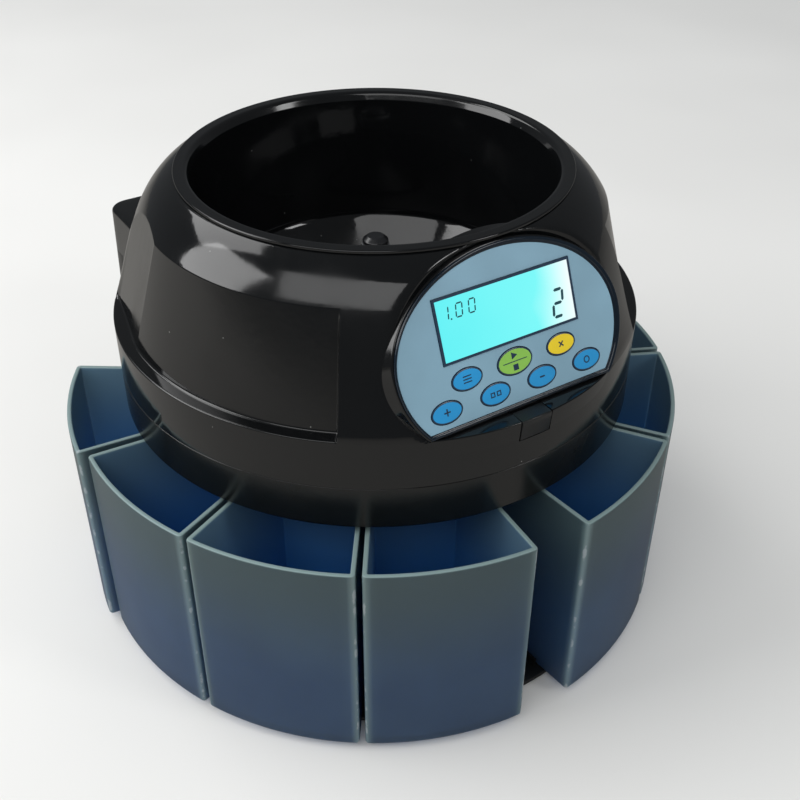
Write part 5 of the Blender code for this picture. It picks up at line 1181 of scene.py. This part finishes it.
# %% [markdown]
# ## Column, base and rear housing
#
# Between the cups the black column shows. The base is a thin disc with a tail
# below the rear housing, and the housing is a drafted box with a round front that
# clears the skirt.

# %% Column
COLUMN_TOP = 135.2
column = rounded([(97, COLUMN_TOP), (97, 5.6), (80, 5.6), (80, 9.6), (94, 9.6), (94, 131.2),
                  (80, 131.2), (80, COLUMN_TOP)],
                 [0.5, 0.5, 0.3, 0.3, 0.3, 0.3, 0.3, 0.3], steps=3)
settle(new_object("round_column", [turned(column)], [satin_black]), "machine",
       ["column_housing"])

# %% Base plate
BASE_LOW, BASE_TOP = 2.3, 5.3
full_turn = np.linspace(0, 360, 240, endpoint=False)
plate = stacked([at_height(around(160.0 - inset, full_turn), z)
                 for inset, z in ((1.0, BASE_LOW), (0.3, 2.6), (0.0, 3.2), (0.0, 4.4),
                                  (0.3, 5.0), (1.0, BASE_TOP))])
base = new_object("base_disc", [plate], [satin_black])
rails = [slab(radial_bar(azimuth, 103.5, 153.5, 0.65), 4.0, 10.3) for azimuth in RAIL_AZIMUTHS]
combine(base, slab(block_outline(BASE_TOP, 40.0, WALL), BASE_LOW, BASE_TOP), *rails,
        operation="UNION")
settle(base, "machine", ["base_plate"])

# %% Rear housing
inlet_hole = box_shell((44.2, 139.0, 24.0), (71.8, 180.0, 44.0))
switch_hole = box_shell((47.2, 147.0, 62.2), (68.8, 180.0, 77.8))
rear = new_object("rear_housing_shell", [block_shell(5.6, 175.0, 100.5)], [gloss_black])
combine(rear, box_shell((-WIDE, 0, COLUMN_TOP), (WIDE, HOUSING_FRONT + 0.3, 190)),
        drum(SKIRT + 0.6, COLUMN_TOP, 190), inlet_hole, switch_hole)
soften(rear, 0.6)
settle(rear, "machine", ["rear_housing"])

# %% Hinge knuckles
HINGE_BACK, HINGE_HEIGHT = 161.3, 175.0
KNUCKLE_HALF, KNUCKLE_RADIUS, PIN_BORE = 6.0, 3.98, 1.8


def knuckle(x, low, high):
    """Tube along X at the hinge line, and the leaf that holds it between two heights."""
    profile = rounded([(-KNUCKLE_HALF, PIN_BORE), (KNUCKLE_HALF, PIN_BORE),
                       (KNUCKLE_HALF, KNUCKLE_RADIUS), (-KNUCKLE_HALF, KNUCKLE_RADIUS)],
                      0.3, steps=2)
    turns = np.linspace(0, 2 * pi, 40, endpoint=False)
    along, reach = profile[:, :1] + x, profile[:, 1:]
    points = np.stack([np.broadcast_to(along, (len(profile), len(turns))),
                       HINGE_BACK + reach * np.cos(turns),
                       HINGE_HEIGHT + reach * np.sin(turns)], -1)
    faces = grid_faces(*points.shape[:2], wrap_rows=True).tolist()
    leaf = box_shell((x - KNUCKLE_HALF, 154.5, low), (x + KNUCKLE_HALF, 159.6, high))
    return [(points.reshape(-1, 3), faces), leaf]


fixed, lifting = [], []
for middle in (-55, 55):
    fixed += knuckle(middle, 171.2, 174.5)
    for shift in (-12.3, 12.3):
        lifting += knuckle(middle + shift, 175.6, 178.8)
for name, shells, body in (("fixed_knuckles", fixed, "machine"),
                           ("cover_knuckles", lifting, "cover")):
    settle(new_object(name, shells, [gloss_black]), body)

# %% [markdown]
# ## Finishes on the frame's own pieces
#
# The mechanism keeps its CAD shapes. Each piece gets the material that the real one
# is made of.

# %% Materials on CAD nodes
FINISHES = {
    zinc_steel: ["drive_deck", "drive_motor", "spindle_clip", "transformer"]
    + [f"base_screw_{i}" for i in range(1, 5)],
    ground_steel: ["disc_spindle", "motor_shaft", "lower_bearing", "upper_bearing",
                   "hinge_pin_1", "hinge_pin_2"],
    turned_brass: ["motor_pinion"],
    white_acetal: ["main_gear"],
    brushed_aluminium: ["spindle_housing"],
    black_rubber: [f"rubber_foot_{i}" for i in range(1, 5)],
    green_board: ["control_board", "power_board", "sensor_board"],
    grey_silicone: ["key_mat"],
    satin_black: ["display_module", "power_inlet", "switch_frame", "switch_rocker"],
}
for finish, names in FINISHES.items():
    for name in names:
        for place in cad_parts[name].material_slots:
            place.material = finish
print(sum(map(len, FINISHES.values())), "CAD nodes keep their shape")

# %% [markdown]
# ## Light and floor
#
# Plain soft studio light: one large window-like lamp from the left rear, one higher
# up behind, a broad dim one above the left front for the sheen on the dome, a small
# one from the front right, and a pale world. The floor is pale and keeps the shadow.
# What world and floor show in a reflection is dimmer, so gloss black stays black.

# %% Floor
FLOOR_RADIUS, FLOOR_SIDES = 4.0, 96
turns = np.linspace(0, 2 * pi, FLOOR_SIDES, endpoint=False)
floor_mesh = bpy.data.meshes.new("floor")
floor_mesh.from_pydata(np.stack([FLOOR_RADIUS * np.cos(turns), FLOOR_RADIUS * np.sin(turns),
                                 np.zeros(FLOOR_SIDES)], -1), [], [list(range(FLOOR_SIDES))])
floor = linked("floor", floor_mesh)
finish, tree, shader, place = new_finish("pale_floor", Roughness=0.9, Specular_IOR_Level=0.1)
cloud = add(tree, "TexNoise", {"Vector": place, "Scale": per_mm(400), "Detail": 2.0})
tint = add(tree, "ValToRGB", {"Fac": cloud}, [(0.3, linear("#E4E3E0")), (0.7, linear("#EAE9E6"))])
mirrored = add(tree, "Mix", {0: add(tree, "LightPath", {}).outputs["Is Glossy Ray"], 6: tint,
                             7: linear("#A09D98")}, data_type="RGBA")
connect(tree, shader, {"Base Color": mirrored})
floor_mesh.materials.append(finish)

# %% Lamps
LAMPS = [
    ("window_lamp", (-1.6, 0.7, 1.2), 0.15, (1.2, 1.2), 20),
    ("sheen_lamp", (-0.95, -0.75, 1.5), 0.15, (1.5, 0.9), 8),
    ("front_lamp", (0.9, -1.5, 1.2), 0.15, (0.4, 0.6), 5),
    ("top_lamp", (-0.7, 1.3, 1.8), 0.1, (1.2, 1.0), 12),
]
for name, place, aim, (width, depth), watts in LAMPS:
    lamp = linked(name, bpy.data.lights.new(name, "AREA"))
    lamp.data.shape = "RECTANGLE"
    lamp.data.size, lamp.data.size_y, lamp.data.energy = width, depth, watts
    lamp.location = place
    ray = Vector((0, 0, aim)) - Vector(place)
    lamp.rotation_euler = ray.to_track_quat("-Z", "Y").to_euler()
print("light:", sum(lamp[-1] for lamp in LAMPS), "W from", len(LAMPS), "lamps")

# %% World
world = bpy.data.worlds.new("studio")
bpy.context.scene.world = world
world.use_nodes = True
tree = world.node_tree
tree.nodes.clear()
rays = add(tree, "LightPath", {}).outputs
fill, dim, white = [add(tree, "Background", {"Color": linear(color), "Strength": strength})
                    for color, strength in (("#EEF1F4", 0.62), ("#E8EDF2", 0.14), ("#F4F4F3", 1.0))]
unseen = add(tree, "MixShader", {0: rays["Is Glossy Ray"], 1: fill, 2: dim})
blend = add(tree, "MixShader", {0: rays["Is Camera Ray"], 1: unseen, 2: white})
add(tree, "OutputWorld", {"Surface": blend})
bpy.context.scene.view_settings.view_transform = "Standard"
